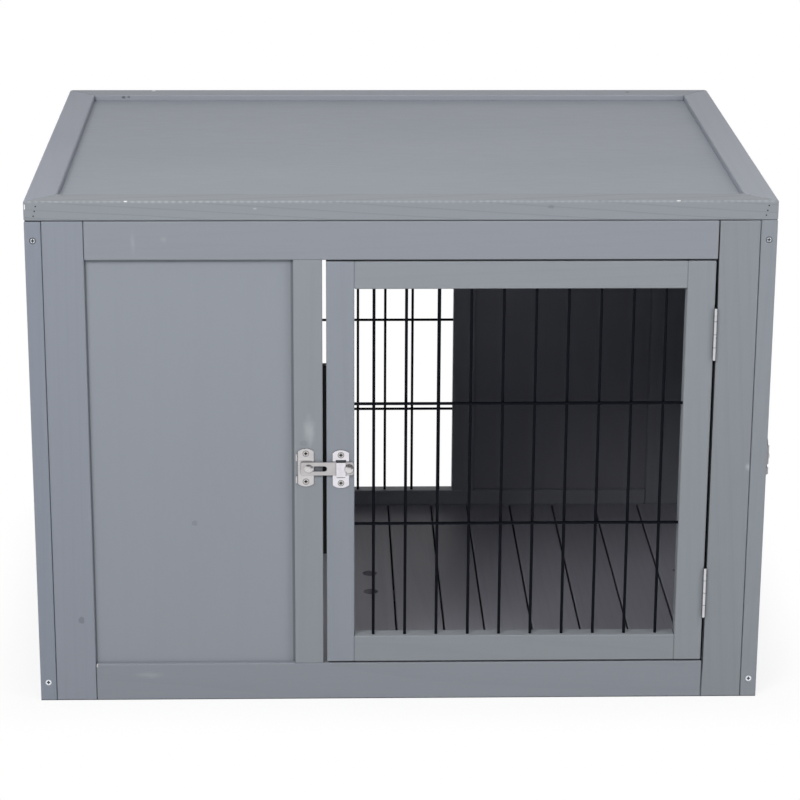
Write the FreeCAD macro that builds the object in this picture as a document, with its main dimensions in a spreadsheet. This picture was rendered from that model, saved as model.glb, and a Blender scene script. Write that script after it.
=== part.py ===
import FreeCAD, Part
import os
import re
from typing import NamedTuple

import Sketcher

# A free-standing wooden pet crate in millimetres. X runs to the right as one faces the front,
# Y runs from front to back and Z up. The origin is on the ground under the middle of the box.

SIZES = {
    # The box and its boards
    "overall_width": "820",
    "overall_depth": "600",
    "body_height": "564",
    "board_thickness": "18",
    "arris": "0.8",
    "seam_gap": "0.6",
    "left_wall_drop": "0.9",
    "stile_width": "45.5",
    "rail_height": "44",
    "mid_stile_width": "32",
    "latch_post_width": "32",
    "panel_thickness": "6",
    "panel_setback": "6",
    "panel_tongue": "6",
    "groove_clearance": "0.2",
    # The window in the back wall
    "back_window_width": "431.8",
    "back_mid_stile_width": "29",
    "back_grille_setback": "6",
    "back_upright_pitch": "36",
    "back_crossbar_pitch": "123.5",
    "back_crossbar_lift": "-2.2",
    # The doors
    "front_door_width": "427.5",
    "door_thickness": "17.6",
    "door_member_width": "31",
    "door_end_gap": "2",
    "latch_gap": "4.2",
    "hinge_gap": "2",
    "door_grille_setback": "1.6",
    "door_upright_pitch": "35.8",
    "door_crossbar_pitch": "141.6",
    "door_crossbar_lift": "1.4",
    "stop_length": "223",
    "stop_thickness": "12",
    "stop_hold": "24",
    "stop_overlap": "12",
    # Grille wire
    "wire_diameter": "3.4",
    "wire_socket": "10",
    "wire_clearance": "0.1",
    # Butt hinges
    "hinge_length": "60",
    "hinge_inset": "53",
    "hinge_barrel_diameter": "3.5",
    "hinge_barrel_standoff": "0.75",
    "hinge_pin_diameter": "1.6",
    "hinge_pin_clearance": "0.05",
    "hinge_leaf_thickness": "0.9",
    "hinge_leaf_width": "15",
    "hinge_knuckle_count": "4",
    "hinge_knuckle_gap": "0.5",
    "hinge_screw_spread": "34",
    "hinge_screw_setback": "8",
    "hinge_screw_head_diameter": "5",
    # Flip latches
    "front_latch_level": "280",
    "side_latch_level": "287",
    "latch_stud_inset": "15.8",
    "latch_plate_lead": "11.8",
    "latch_plate_width": "17.5",
    "latch_plate_height": "44.6",
    "latch_plate_arch": "3.4",
    "latch_sheet": "1.5",
    "latch_tab_height": "8",
    "latch_tab_spread": "26",
    "latch_tab_thickness": "1.4",
    "latch_tab_gap": "1.2",
    "latch_tab_stand": "2.4",
    "latch_tab_foot": "0.6",
    "latch_plate_lift": "1",
    "keeper_drop": "1",
    "latch_play": "0.2",
    "latch_bar_length": "58.9",
    "latch_bar_tail": "8.9",
    "latch_bar_width": "15.2",
    "latch_bar_thickness": "1.6",
    "latch_bar_corner": "1.5",
    "latch_slot_width": "6.2",
    "latch_slot_travel": "17.5",
    "stud_clearance": "0.3",
    "stud_depth": "12",
    "stud_head_diameter": "10",
    "stud_head_height": "2.2",
    "knob_reach": "45.2",
    "knob_neck_diameter": "4.4",
    "knob_diameter": "9.6",
    "knob_rim": "1.6",
    "knob_dome": "2.2",
    "keeper_inset": "6.9",
    "keeper_width": "18.3",
    "strap_width": "10.4",
    "strap_thickness": "1.2",
    "strap_play": "0.3",
    "strap_window_margin": "0.6",
    "strap_window_head": "2.2",
    # Screws and pins
    "screw_diameter": "3",
    "screw_head_diameter": "6.4",
    "screw_length": "14",
    "screw_spread": "33",
    "corner_screw_diameter": "4",
    "corner_screw_head_diameter": "7.4",
    "corner_screw_head_height": "2.2",
    "corner_screw_length": "76",
    "lid_pin_diameter": "1.7",
    "lid_pin_length": "44",
    "lid_pin_pitch": "5.4",
    "lid_pin_inset": "12",
    "lid_pin_lean": "1.3",
    # The lid
    "lid_rail_width": "33.5",
    "lid_rail_height": "22",
    "lid_arris": "1.2",
    "lid_panel_recess": "7.5",
    "lid_panel_thickness": "6",
    # The floor
    "floor_level": "24",
    "floor_board_thickness": "14",
    "floor_board_pitch": "57.3",
    "floor_board_gap": "2.2",
    "floor_end_gap": "0.5",
    "floor_bearer_height": "8",
    "floor_bearer_width": "20",
    "finger_hole_diameter": "18",
    "finger_hole_spacing": "62",
}


class Wall(NamedTuple):
    """One side of the crate: its turn about Z in degrees and its distance from the centre."""

    turn: int
    face: str


FRONT = Wall(0, "overall_depth / 2")
RIGHT = Wall(90, "overall_width / 2")
BACK = Wall(180, "overall_depth / 2")
LEFT = Wall(270, "overall_width / 2")

# Ways that a round piece points, seen from outside its wall
UPWARD = FreeCAD.Rotation()
INWARD = FreeCAD.Rotation(FreeCAD.Vector(1, 0, 0), -90)
OUTWARD = FreeCAD.Rotation(FreeCAD.Vector(1, 0, 0), 90)
RIGHTWARD = FreeCAD.Rotation(FreeCAD.Vector(0, 1, 0), 90)
LEFTWARD = FreeCAD.Rotation(FreeCAD.Vector(0, 1, 0), -90)

# Places along the front, measured from the middle
INNER_X = "(overall_width / 2 - board_thickness)"
JAMB_X = f"({INNER_X} - stile_width)"
FRONT_DOOR_RIGHT = f"({JAMB_X} - hinge_gap)"
FRONT_DOOR_LEFT = f"({FRONT_DOOR_RIGHT} - front_door_width)"
MID_STILE_RIGHT = f"({FRONT_DOOR_LEFT} - latch_gap)"
MID_STILE_LEFT = f"({MID_STILE_RIGHT} - mid_stile_width)"

# Places along the back, seen from behind
BACK_MID_RIGHT = f"({JAMB_X} - back_window_width)"
BACK_MID_LEFT = f"({BACK_MID_RIGHT} - back_mid_stile_width)"

# Places along the right wall, seen from that side
LATCH_POST_RIGHT = "(latch_post_width - overall_depth / 2)"
HINGE_POST_LEFT = "(overall_depth / 2 - stile_width)"
SIDE_DOOR_LEFT = f"({LATCH_POST_RIGHT} + latch_gap)"
SIDE_DOOR_RIGHT = f"({HINGE_POST_LEFT} - hinge_gap)"

# Heights
RAIL_TOP_Z = "(body_height - rail_height)"
DOOR_BOTTOM_Z = "(rail_height + door_end_gap)"
DOOR_TOP_Z = f"({RAIL_TOP_Z} - door_end_gap)"
LID_TOP_Z = "(body_height + lid_rail_height)"
LID_PANEL_Z = f"({LID_TOP_Z} - lid_panel_recess - lid_panel_thickness)"
FLOOR_UNDER_Z = "(floor_level - floor_board_thickness)"

# Layers of a latch, measured outward from the face of the wood
BAR_BACK = "(latch_sheet + latch_play)"
BAR_FRONT = f"({BAR_BACK} + latch_bar_thickness)"
STRAP_FRONT = f"({BAR_FRONT} + strap_play + strap_thickness)"
KNOB_BACK = f"({STRAP_FRONT} + strap_play)"
STUD_DIAMETER = "(latch_slot_width - 2 * stud_clearance)"
HINGE_AXIS_OUT = "(hinge_barrel_diameter / 2 + hinge_barrel_standoff)"
KNUCKLE_PITCH = "(hinge_length / hinge_knuckle_count)"

doc = FreeCAD.newDocument("PetCrate")
sheet = doc.addObject("Spreadsheet::Sheet", "Sizes")
for row, (alias, number) in enumerate(SIZES.items(), start=1):
    sheet.set(f"A{row}", alias)
    sheet.set(f"B{row}", number)
    sheet.setAlias(f"B{row}", alias)
doc.recompute()

WORD = re.compile(r"[a-z][a-z_]*")
nodes = []


def linked(text):
    """Return an expression with each size's name turned into its cell."""

    def cell(found):
        word = found.group()
        return f"Sizes.{word}" if word in SIZES else word

    return WORD.sub(cell, text)


def value(text):
    """Return the number that an expression of size names has now."""
    return float(sheet.evalExpression(linked(text)))


def bind(thing, **properties):
    """Tie an object's properties to expressions of size names."""
    for name, text in properties.items():
        thing.setExpression(name, linked(text))


def keep(thing):
    """List an object as a finished sub-part."""
    nodes.append(thing)
    return thing


def place(thing, wall, x, inward, z, aim=UPWARD):
    """Set a thing on a wall: x to the right seen from outside, inward from the outer face, z up."""
    thing.Placement = FreeCAD.Placement(
        FreeCAD.Vector(), FreeCAD.Rotation(FreeCAD.Vector(0, 0, 1), wall.turn) * aim
    )
    out = f"({wall.face} - ({inward}))"
    across = {
        0: (x, f"-{out}"),
        90: (out, x),
        180: (f"-({x})", out),
        270: (f"-{out}", f"-({x})"),
    }[wall.turn]
    for axis, text in zip("xyz", (*across, z)):
        thing.setExpression(f".Placement.Base.{axis}", linked(text))
    return thing


def group(label, pieces):
    """Hold several solids as one object."""
    compound = doc.addObject("Part::Compound", label)
    compound.Links = pieces
    return compound


def fused(label, pieces):
    """Join several solids into one."""
    whole = doc.addObject("Part::MultiFuse", label)
    whole.Shapes = pieces
    return whole


def cut(label, blank, tools):
    """Take the tools' shapes out of a blank."""
    tool = tools[0] if len(tools) == 1 else group(f"{label}_cuts", tools)
    piece = doc.addObject("Part::Cut", label)
    piece.Base = blank
    piece.Tool = tool
    return piece


def box(label, wall, x, inward, z, width, depth, height):
    """Make a plain block on a wall."""
    block = doc.addObject("Part::Box", label)
    bind(block, Length=width, Width=depth, Height=height)
    return place(block, wall, x, inward, z)


def rod(label, wall, x, inward, z, aim, diameter, length):
    """Make a round rod that starts at a point on a wall."""
    round_piece = doc.addObject("Part::Cylinder", label)
    bind(round_piece, Radius=f"{diameter} / 2", Height=length)
    return place(round_piece, wall, x, inward, z, aim)


def dome(label, wall, x, inward, z, diameter, height):
    """Make a shallow dome that stands outward on a wall, from its base."""
    ball = f"((({diameter}) ^ 2 / 4 + ({height}) ^ 2) / (2 * ({height})))"
    cap = doc.addObject("Part::Sphere", label)
    bind(cap, Radius=ball, Angle1=f"asin(({ball} - ({height})) / {ball})")
    return place(cap, wall, x, f"{inward} + {ball} - ({height})", z, OUTWARD)


def screw(label, wall, x, inward, z, aim, diameter, head_diameter, head_height, length):
    """Make a countersunk screw whose head is level with the surface it enters."""
    head = doc.addObject("Part::Cone", f"{label}_head")
    bind(head, Radius1=f"{head_diameter} / 2", Radius2=f"{diameter} / 2", Height=head_height)
    place(head, wall, x, inward, z, aim)
    shank = rod(f"{label}_shank", wall, x, inward, z, aim, diameter, length)
    return fused(label, [head, shank])


def sketch_on(body, role):
    """Start a sketch on one of a body's own origin planes."""
    sketch = body.newObject("Sketcher::SketchObject", "Outline")
    plane = next(item for item in body.Origin.OriginFeatures if item.Role == role)
    sketch.AttachmentSupport = [(plane, "")]
    sketch.MapMode = "FlatFace"
    return sketch


def hold(sketch, edge, end, x, y):
    """Fix one end of a sketch's edge at a point given by expressions."""
    for text, kind, axis in ((x, "DistanceX", -2), (y, "DistanceY", -1)):
        if text == "0":
            sketch.addConstraint(Sketcher.Constraint("PointOnObject", edge, end, axis))
            continue
        number = sketch.addConstraint(Sketcher.Constraint(kind, -1, 1, edge, end, value(text)))
        sketch.setExpression(f"Constraints[{number}]", linked(text))


def polygon(body, role, points):
    """Draw a closed outline of straight edges through points given by expressions."""
    sketch = sketch_on(body, role)
    corners = [FreeCAD.Vector(value(x), value(y), 0) for x, y in points]
    count = len(corners)
    for edge in range(count):
        sketch.addGeometry(Part.LineSegment(corners[edge], corners[(edge + 1) % count]))
    for edge in range(count):
        sketch.addConstraint(Sketcher.Constraint("Coincident", edge, 2, (edge + 1) % count, 1))
    for edge, (x, y) in enumerate(points):
        hold(sketch, edge, 1, x, y)
    return sketch


def padded(body, sketch, length):
    """Give a sketch its thickness."""
    pad = body.newObject("PartDesign::Pad", "Pad")
    pad.Profile = sketch
    bind(pad, Length=length)
    doc.recompute()
    return pad


def eased(body, pad, size):
    """Take the sharpness off every edge of a board."""
    chamfer = body.newObject("PartDesign::Chamfer", "Arris")
    chamfer.Base = (pad, ["Face1"])
    chamfer.UseAllEdges = True
    bind(chamfer, Size=size)
    doc.recompute()


def board(label, wall, x, z, width, height, inward="0", thickness="board_thickness", ease="arris"):
    """Make a squared board with eased edges."""
    body = doc.addObject("PartDesign::Body", label)
    outline = [("0", "0"), (width, "0"), (width, thickness), ("0", thickness)]
    eased(body, padded(body, polygon(body, "XY_Plane", outline), height), ease)
    return place(body, wall, x, inward, z)


def fitted(label, tools, *where, **options):
    """Make a board of a frame, with the seats of what it holds cut into it."""
    return keep(cut(label, board(f"{label}_board", *where, **options), tools))


def panel(label, wall, left, right, bottom, top, setback="panel_setback"):
    """Make a sheet held in grooves, and the tool that cuts those grooves."""
    slack = {"": "0", "_groove": "groove_clearance"}
    sheets = []
    for ending, spare in slack.items():
        reach = f"(panel_tongue + {spare})"
        sheets.append(
            box(
                f"{label}{ending}",
                wall,
                f"{left} - {reach}",
                f"{setback} - {spare}",
                f"{bottom} - {reach}",
                f"{right} - {left} + 2 * {reach}",
                f"panel_thickness + 2 * {spare}",
                f"{top} - {bottom} + 2 * {reach}",
            )
        )
    keep(sheets[0])
    return sheets[1]


def grille(label, wall, left, right, bottom, top, setback, kind):
    """Make as many crossbars and uprights as the opening takes, and the tools for their end sockets."""
    upright_total = round(value(f"({right} - {left}) / {kind}_upright_pitch"))
    crossbar_total = round(value(f"({top} - {bottom}) / {kind}_crossbar_pitch")) - 1
    crossbar_in = f"({setback} + wire_diameter / 2)"
    upright_in = f"({crossbar_in} + wire_diameter + wire_clearance)"
    first_x = f"(({left} + {right}) / 2 - ({upright_total} - 1) / 2 * {kind}_upright_pitch)"
    middle_z = f"(({bottom} + {top}) / 2 + {kind}_crossbar_lift)"
    first_z = f"({middle_z} - ({crossbar_total} - 1) / 2 * {kind}_crossbar_pitch)"
    socket = "(wire_diameter + 2 * wire_clearance)"
    made = {}
    for ending, diameter in (("", "wire_diameter"), ("_socket", socket)):
        made["upright" + ending] = [
            rod(
                f"{label}_upright{ending}_{turn}",
                wall,
                f"{first_x} + {turn} * {kind}_upright_pitch",
                upright_in,
                f"{bottom} - wire_socket",
                UPWARD,
                diameter,
                f"{top} - {bottom} + 2 * wire_socket",
            )
            for turn in range(upright_total)
        ]
        made["crossbar" + ending] = [
            rod(
                f"{label}_crossbar{ending}_{turn}",
                wall,
                f"{left} - wire_socket",
                crossbar_in,
                f"{first_z} + {turn} * {kind}_crossbar_pitch",
                RIGHTWARD,
                diameter,
                f"{right} - {left} + 2 * wire_socket",
            )
            for turn in range(crossbar_total)
        ]
    keep(group(label, made["upright"] + made["crossbar"]))
    return made["upright_socket"], made["crossbar_socket"]


def hinge_leaf(label, wall, axis_x, bottom, on_frame):
    """Make one leaf of a butt hinge with every other knuckle, and its two screws."""
    leaf_x = f"({axis_x} - hinge_gap / 2)"
    if on_frame:
        leaf_x = f"({axis_x} + hinge_gap / 2 - hinge_leaf_thickness)"
    axis_in = f"-{HINGE_AXIS_OUT}"
    plate = box(
        f"{label}_plate",
        wall,
        leaf_x,
        axis_in,
        bottom,
        "hinge_leaf_thickness",
        f"{HINGE_AXIS_OUT} + hinge_leaf_width",
        "hinge_length",
    )
    total = int(SIZES["hinge_knuckle_count"])
    own = range(0 if on_frame else 1, total, 2)
    other = range(1 if on_frame else 0, total, 2)
    knuckles = [
        rod(
            f"{label}_knuckle_{turn}",
            wall,
            axis_x,
            axis_in,
            f"{bottom} + {turn} * {KNUCKLE_PITCH} + hinge_knuckle_gap / 2",
            UPWARD,
            "hinge_barrel_diameter",
            f"{KNUCKLE_PITCH} - hinge_knuckle_gap",
        )
        for turn in own
    ]
    half = "(hinge_barrel_diameter / 2 + hinge_knuckle_gap)"
    notches = [
        box(
            f"{label}_notch_{turn}",
            wall,
            f"{axis_x} - {half}",
            f"{axis_in} - {half}",
            f"{bottom} + {turn} * {KNUCKLE_PITCH} - hinge_knuckle_gap / 2",
            f"2 * {half}",
            f"2 * {half}",
            f"{KNUCKLE_PITCH} + hinge_knuckle_gap",
        )
        for turn in other
    ]
    bore = rod(
        f"{label}_bore",
        wall,
        axis_x,
        axis_in,
        bottom,
        UPWARD,
        "(hinge_pin_diameter + 2 * hinge_pin_clearance)",
        "hinge_length",
    )
    screws = [
        screw(
            f"{label}_screw_{turn}",
            wall,
            f"{axis_x} {'+' if on_frame else '-'} (hinge_gap / 2 - hinge_leaf_thickness)",
            "hinge_screw_setback",
            f"{bottom} + hinge_length / 2 {sign} hinge_screw_spread / 2",
            RIGHTWARD if on_frame else LEFTWARD,
            "screw_diameter",
            "hinge_screw_head_diameter",
            "hinge_leaf_thickness",
            "screw_length",
        )
        for turn, sign in enumerate("-+")
    ]
    rough = fused(f"{label}_rough", [plate, *knuckles])
    gaps = fused(f"{label}_gaps", [bore, *notches])
    return cut(label, cut(f"{label}_unbored", rough, [gaps]), screws), screws


def arched_plate(label, wall, left, width, level):
    """Make a sheet plate with arched ends that lies on the wood, centred on its latch's level."""
    body = doc.addObject("PartDesign::Body", label)
    sketch = sketch_on(body, "XZ_Plane")
    straight = "(latch_plate_height - latch_plate_arch)"
    arc_radius = f"((({width}) ^ 2 / 4 + latch_plate_arch ^ 2) / (2 * latch_plate_arch))"
    wide, low, high = value(width), value("latch_plate_arch"), value(straight)
    left_low, left_high = FreeCAD.Vector(0, low, 0), FreeCAD.Vector(0, high, 0)
    right_low, right_high = FreeCAD.Vector(wide, low, 0), FreeCAD.Vector(wide, high, 0)
    under = FreeCAD.Vector(wide / 2, 0, 0)
    over = FreeCAD.Vector(wide / 2, value("latch_plate_height"), 0)
    sketch.addGeometry(Part.LineSegment(left_high, left_low))
    sketch.addGeometry(Part.Arc(left_low, under, right_low))
    sketch.addGeometry(Part.LineSegment(right_low, right_high))
    sketch.addGeometry(Part.Arc(right_high, over, left_high))
    for edge, end, x, y in ((0, 2, "0", "latch_plate_arch"), (0, 1, "0", straight)):
        hold(sketch, edge, end, x, y)
    for edge, end, x, y in ((2, 1, width, "latch_plate_arch"), (2, 2, width, straight)):
        hold(sketch, edge, end, x, y)
    for edge in range(4):
        sketch.addConstraint(Sketcher.Constraint("Coincident", edge, 2, (edge + 1) % 4, 1))
    for arc in (1, 3):
        number = sketch.addConstraint(Sketcher.Constraint("Radius", arc, value(arc_radius)))
        sketch.setExpression(f"Constraints[{number}]", linked(arc_radius))
    padded(body, sketch, "latch_sheet")
    return place(body, wall, left, "0", f"{level} - latch_plate_height / 2")


def plate_screws(label, wall, x, level):
    """Make the two screws of a latch plate or keeper."""
    return [
        screw(
            f"{label}_{turn}",
            wall,
            x,
            "-latch_sheet",
            f"{level} {sign} screw_spread / 2",
            INWARD,
            "screw_diameter",
            "screw_head_diameter",
            "latch_sheet",
            "screw_length",
        )
        for turn, sign in enumerate("-+")
    ]


def latch(side, wall, post_right):
    """Make a flip latch on its post: plate, stud, slotted bar and knob. Returns its screws and stud."""
    level = f"{side}_latch_level"
    plate_level = f"({level} + latch_plate_lift)"
    stud_x = f"({post_right} - latch_stud_inset)"
    plate_x = f"({stud_x} - latch_plate_lead)"
    screws = plate_screws(f"{side}_latch_screw", wall, f"{plate_x} + latch_plate_width / 2", plate_level)
    stud_shank = rod(
        f"{side}_latch_stud_shank",
        wall,
        stud_x,
        "stud_depth",
        level,
        OUTWARD,
        STUD_DIAMETER,
        f"stud_depth + {BAR_FRONT} + stud_clearance",
    )
    stud_head = dome(
        f"{side}_latch_stud_head",
        wall,
        stud_x,
        f"-({BAR_FRONT} + stud_clearance)",
        level,
        "stud_head_diameter",
        "stud_head_height",
    )
    stud = fused(f"{side}_latch_stud", [stud_shank, stud_head])
    tabs = [
        box(
            f"{side}_latch_tab_{part}_{turn}",
            wall,
            f"{plate_x} - latch_tab_gap - latch_tab_thickness",
            f"-{stand}",
            f"{level} {sign} latch_tab_spread / 2 - latch_tab_height / 2",
            f"latch_tab_thickness + {run}",
            stand,
            "latch_tab_height",
        )
        for turn, sign in enumerate("-+")
        for part, stand, run in (
            ("edge", "latch_tab_stand", "0"),
            ("foot", "latch_tab_foot", "latch_tab_gap"),
        )
    ]
    sheet_plate = arched_plate(f"{side}_latch_sheet", wall, plate_x, "latch_plate_width", plate_level)
    rough = fused(f"{side}_latch_plate_rough", [sheet_plate, *tabs])
    keep(cut(f"{side}_latch_plate", rough, [*screws, stud_shank]))

    bar_body = doc.addObject("PartDesign::Body", f"{side}_latch_bar_blank")
    far, top, nip = "latch_bar_length", "latch_bar_width", "latch_bar_corner"
    outline = [
        (nip, "0"),
        (f"{far} - {nip}", "0"),
        (far, nip),
        (far, f"{top} - {nip}"),
        (f"{far} - {nip}", top),
        (nip, top),
        ("0", f"{top} - {nip}"),
        ("0", nip),
    ]
    padded(bar_body, polygon(bar_body, "XZ_Plane", outline), "latch_bar_thickness")
    under = f"{level} - latch_bar_width / 2"
    place(bar_body, wall, f"{stud_x} - latch_bar_tail", f"-{BAR_BACK}", under)
    slot_ends = [
        rod(
            f"{side}_latch_slot_end_{turn}",
            wall,
            f"{stud_x} + {turn} * latch_slot_travel",
            f"-{BAR_BACK}",
            level,
            OUTWARD,
            "latch_slot_width",
            "latch_bar_thickness",
        )
        for turn in range(2)
    ]
    slot_run = box(
        f"{side}_latch_slot_run",
        wall,
        stud_x,
        f"-{BAR_FRONT}",
        f"{level} - latch_slot_width / 2",
        "latch_slot_travel",
        "latch_bar_thickness",
        "latch_slot_width",
    )
    slot = fused(f"{side}_latch_slot", [*slot_ends, slot_run])
    keep(cut(f"{side}_latch_bar", bar_body, [slot]))

    knob_x = f"({stud_x} + knob_reach)"
    neck = rod(
        f"{side}_latch_knob_neck",
        wall,
        knob_x,
        f"-{BAR_FRONT}",
        level,
        OUTWARD,
        "knob_neck_diameter",
        f"{KNOB_BACK} - {BAR_FRONT}",
    )
    rim = rod(
        f"{side}_latch_knob_rim",
        wall,
        knob_x,
        f"-{KNOB_BACK}",
        level,
        OUTWARD,
        "knob_diameter",
        "knob_rim",
    )
    crown = dome(
        f"{side}_latch_knob_crown",
        wall,
        knob_x,
        f"-({KNOB_BACK} + knob_rim)",
        level,
        "knob_diameter",
        "knob_dome",
    )
    keep(fused(f"{side}_latch_knob", [neck, rim, crown]))
    return screws, stud, stud_shank


def keeper(side, wall, door_left):
    """Make the keeper on a door: an arched plate with a strap bent up in front of the bar."""
    level = f"{side}_latch_level"
    plate_level = f"({level} - keeper_drop)"
    keeper_x = f"({door_left} + keeper_inset)"
    strap_x = f"({keeper_x} + keeper_width / 2 - strap_width / 2)"
    foot_z = f"({level} - latch_bar_width / 2 - strap_play - strap_thickness)"
    strap_body = doc.addObject("PartDesign::Body", f"{side}_door_keeper_strap")
    rise = "(strap_thickness + strap_play + latch_bar_width)"
    back, front = STRAP_FRONT, "0"
    inside = "strap_thickness"
    outline = [
        (front, "0"),
        (back, "0"),
        (back, "strap_thickness"),
        (inside, "strap_thickness"),
        (inside, rise),
        (front, rise),
    ]
    padded(strap_body, polygon(strap_body, "YZ_Plane", outline), "strap_width")
    place(strap_body, wall, strap_x, f"-{STRAP_FRONT}", foot_z)
    window = box(
        f"{side}_door_keeper_window",
        wall,
        f"{strap_x} - strap_window_margin",
        "-latch_sheet",
        f"{foot_z} + strap_thickness",
        "strap_width + 2 * strap_window_margin",
        "latch_sheet",
        f"{rise} - strap_thickness + strap_window_head",
    )
    screws = plate_screws(
        f"{side}_door_keeper_screw", wall, f"{keeper_x} + keeper_width / 2", plate_level
    )
    sheet_plate = arched_plate(f"{side}_door_keeper_sheet", wall, keeper_x, "keeper_width", plate_level)
    pierced = cut(f"{side}_door_keeper_pierced", sheet_plate, [window, *screws])
    keep(fused(f"{side}_door_keeper", [pierced, strap_body]))
    return screws


def hinges(side, wall, axis_x):
    """Make the two hinges of a door. Returns frame leaves, door leaves, pins and their screws."""
    sets = {"frame": [], "door": [], "pins": [], "frame_screws": [], "door_screws": []}
    lower = f"({DOOR_BOTTOM_Z} + hinge_inset)"
    upper = f"({DOOR_TOP_Z} - hinge_inset - hinge_length)"
    for name, bottom in (("lower", lower), ("upper", upper)):
        for kind in ("frame", "door"):
            leaf, screws = hinge_leaf(f"{side}_{name}_{kind}_leaf", wall, axis_x, bottom, kind == "frame")
            sets[kind].append(leaf)
            sets[f"{kind}_screws"] += screws
        pin = rod(
            f"{side}_{name}_pin",
            wall,
            axis_x,
            f"-{HINGE_AXIS_OUT}",
            bottom,
            UPWARD,
            "hinge_pin_diameter",
            "hinge_length",
        )
        sets["pins"].append(pin)
    return sets


def door_boards(side, wall, left, right, rail_tools, latch_tools, hinge_tools):
    """Make the four boards of a door's frame."""
    inner_left = f"({left} + door_member_width)"
    inner_right = f"({right} - door_member_width)"
    tall = f"{DOOR_TOP_Z} - {DOOR_BOTTOM_Z}"
    wide = f"{inner_right} - {inner_left}"
    member = "door_member_width"
    thick = {"thickness": "door_thickness"}
    fitted(f"{side}_door_latch_stile", latch_tools, wall, left, DOOR_BOTTOM_Z, member, tall, **thick)
    fitted(f"{side}_door_hinge_stile", hinge_tools, wall, inner_right, DOOR_BOTTOM_Z, member, tall, **thick)
    upper = f"{DOOR_TOP_Z} - door_member_width"
    fitted(f"{side}_door_top_rail", rail_tools, wall, inner_left, upper, wide, member, **thick)
    fitted(f"{side}_door_bottom_rail", rail_tools, wall, inner_left, DOOR_BOTTOM_Z, wide, member, **thick)


def door_opening(left, right):
    """Return the four sides of the space inside a door's frame."""
    return (
        f"({left} + door_member_width)",
        f"({right} - door_member_width)",
        f"({DOOR_BOTTOM_Z} + door_member_width)",
        f"({DOOR_TOP_Z} - door_member_width)",
    )


def door_stop(side, wall, post_right, held):
    """Make the batten that a closed door rests against, behind the latch gap."""
    keep(
        board(
            f"{side}_door_stop",
            wall,
            f"{post_right} - {held}",
            f"({DOOR_BOTTOM_Z} + {DOOR_TOP_Z}) / 2 - stop_length / 2",
            f"{held} + latch_gap + stop_overlap",
            "stop_length",
            inward="board_thickness",
            thickness="stop_thickness",
        )
    )


# Corner screws go through the posts into the rails of the side walls
corner_x = "(overall_width / 2 - board_thickness / 2)"
corner_screws = {
    (end, side, level): screw(
        f"corner_screw_{end}_{side}_{level}",
        wall,
        f"{sign}{corner_x}",
        "0",
        z,
        INWARD,
        "corner_screw_diameter",
        "corner_screw_head_diameter",
        "corner_screw_head_height",
        "corner_screw_length",
    )
    for end, wall, signs in (("front", FRONT, "-+"), ("back", BACK, "+-"))
    for side, sign in zip(("left", "right"), signs)
    for level, z in (("low", "rail_height / 2"), ("high", "body_height - rail_height / 2"))
}
keep(group("corner_screws", list(corner_screws.values())))

# Front wall
front_hinges = hinges("front", FRONT, f"({JAMB_X} - hinge_gap / 2)")
front_plate_screws, front_stud, front_stud_shank = latch("front", FRONT, MID_STILE_RIGHT)
front_groove = panel("front_panel", FRONT, f"(-{JAMB_X})", MID_STILE_LEFT, "rail_height", RAIL_TOP_Z)
long_rail = (f"2 * ({JAMB_X} - seam_gap)", "rail_height")
top_rail = (f"2 * ({JAMB_X} - seam_gap)", "rail_height - seam_gap")
rail_left = f"seam_gap - {JAMB_X}"
stile = ("stile_width - seam_gap", "body_height")
front_stile = ("stile_width - seam_gap", "body_height - seam_gap")
stile_left = f"seam_gap - {INNER_X}"
fitted("front_left_stile", [front_groove], FRONT, stile_left, "0", *front_stile)
fitted("front_right_stile", front_hinges["frame_screws"], FRONT, JAMB_X, "0", *front_stile)
fitted("front_top_rail", [front_groove], FRONT, rail_left, RAIL_TOP_Z, *top_rail)
fitted("front_bottom_rail", [front_groove], FRONT, rail_left, "0", *long_rail)
fitted(
    "front_mid_stile",
    [front_groove, *front_plate_screws, front_stud_shank],
    FRONT,
    MID_STILE_LEFT,
    "rail_height",
    "mid_stile_width",
    f"{RAIL_TOP_Z} - rail_height",
)
door_stop("front", FRONT, MID_STILE_RIGHT, "stop_hold")

# Front door
front_opening = door_opening(FRONT_DOOR_LEFT, FRONT_DOOR_RIGHT)
upright_sockets, crossbar_sockets = grille(
    "front_door_grille", FRONT, *front_opening, "door_grille_setback", "door"
)
front_keeper_screws = keeper("front", FRONT, FRONT_DOOR_LEFT)
door_boards(
    "front",
    FRONT,
    FRONT_DOOR_LEFT,
    FRONT_DOOR_RIGHT,
    upright_sockets,
    crossbar_sockets + front_keeper_screws,
    crossbar_sockets + front_hinges["door_screws"],
)
keep(group("front_door_hinge_leaves", front_hinges["door"]))
keep(group("front_door_screws", front_keeper_screws + front_hinges["door_screws"]))

# Back wall, whose window is behind the front panel
back_groove = panel("back_panel", BACK, f"(-{JAMB_X})", BACK_MID_LEFT, "rail_height", RAIL_TOP_Z)
back_uprights, back_crossbars = grille(
    "back_grille", BACK, BACK_MID_RIGHT, JAMB_X, "rail_height", RAIL_TOP_Z, "back_grille_setback", "back"
)
fitted("back_right_stile", [back_groove], BACK, stile_left, "0", *stile)
fitted("back_left_stile", back_crossbars, BACK, JAMB_X, "0", *stile)
fitted("back_top_rail", [back_groove, *back_uprights], BACK, rail_left, RAIL_TOP_Z, *long_rail)
fitted("back_bottom_rail", [back_groove, *back_uprights], BACK, rail_left, "0", *long_rail)
fitted(
    "back_mid_stile",
    [back_groove, *back_crossbars],
    BACK,
    BACK_MID_LEFT,
    "rail_height",
    "back_mid_stile_width",
    f"{RAIL_TOP_Z} - rail_height",
)

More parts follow.
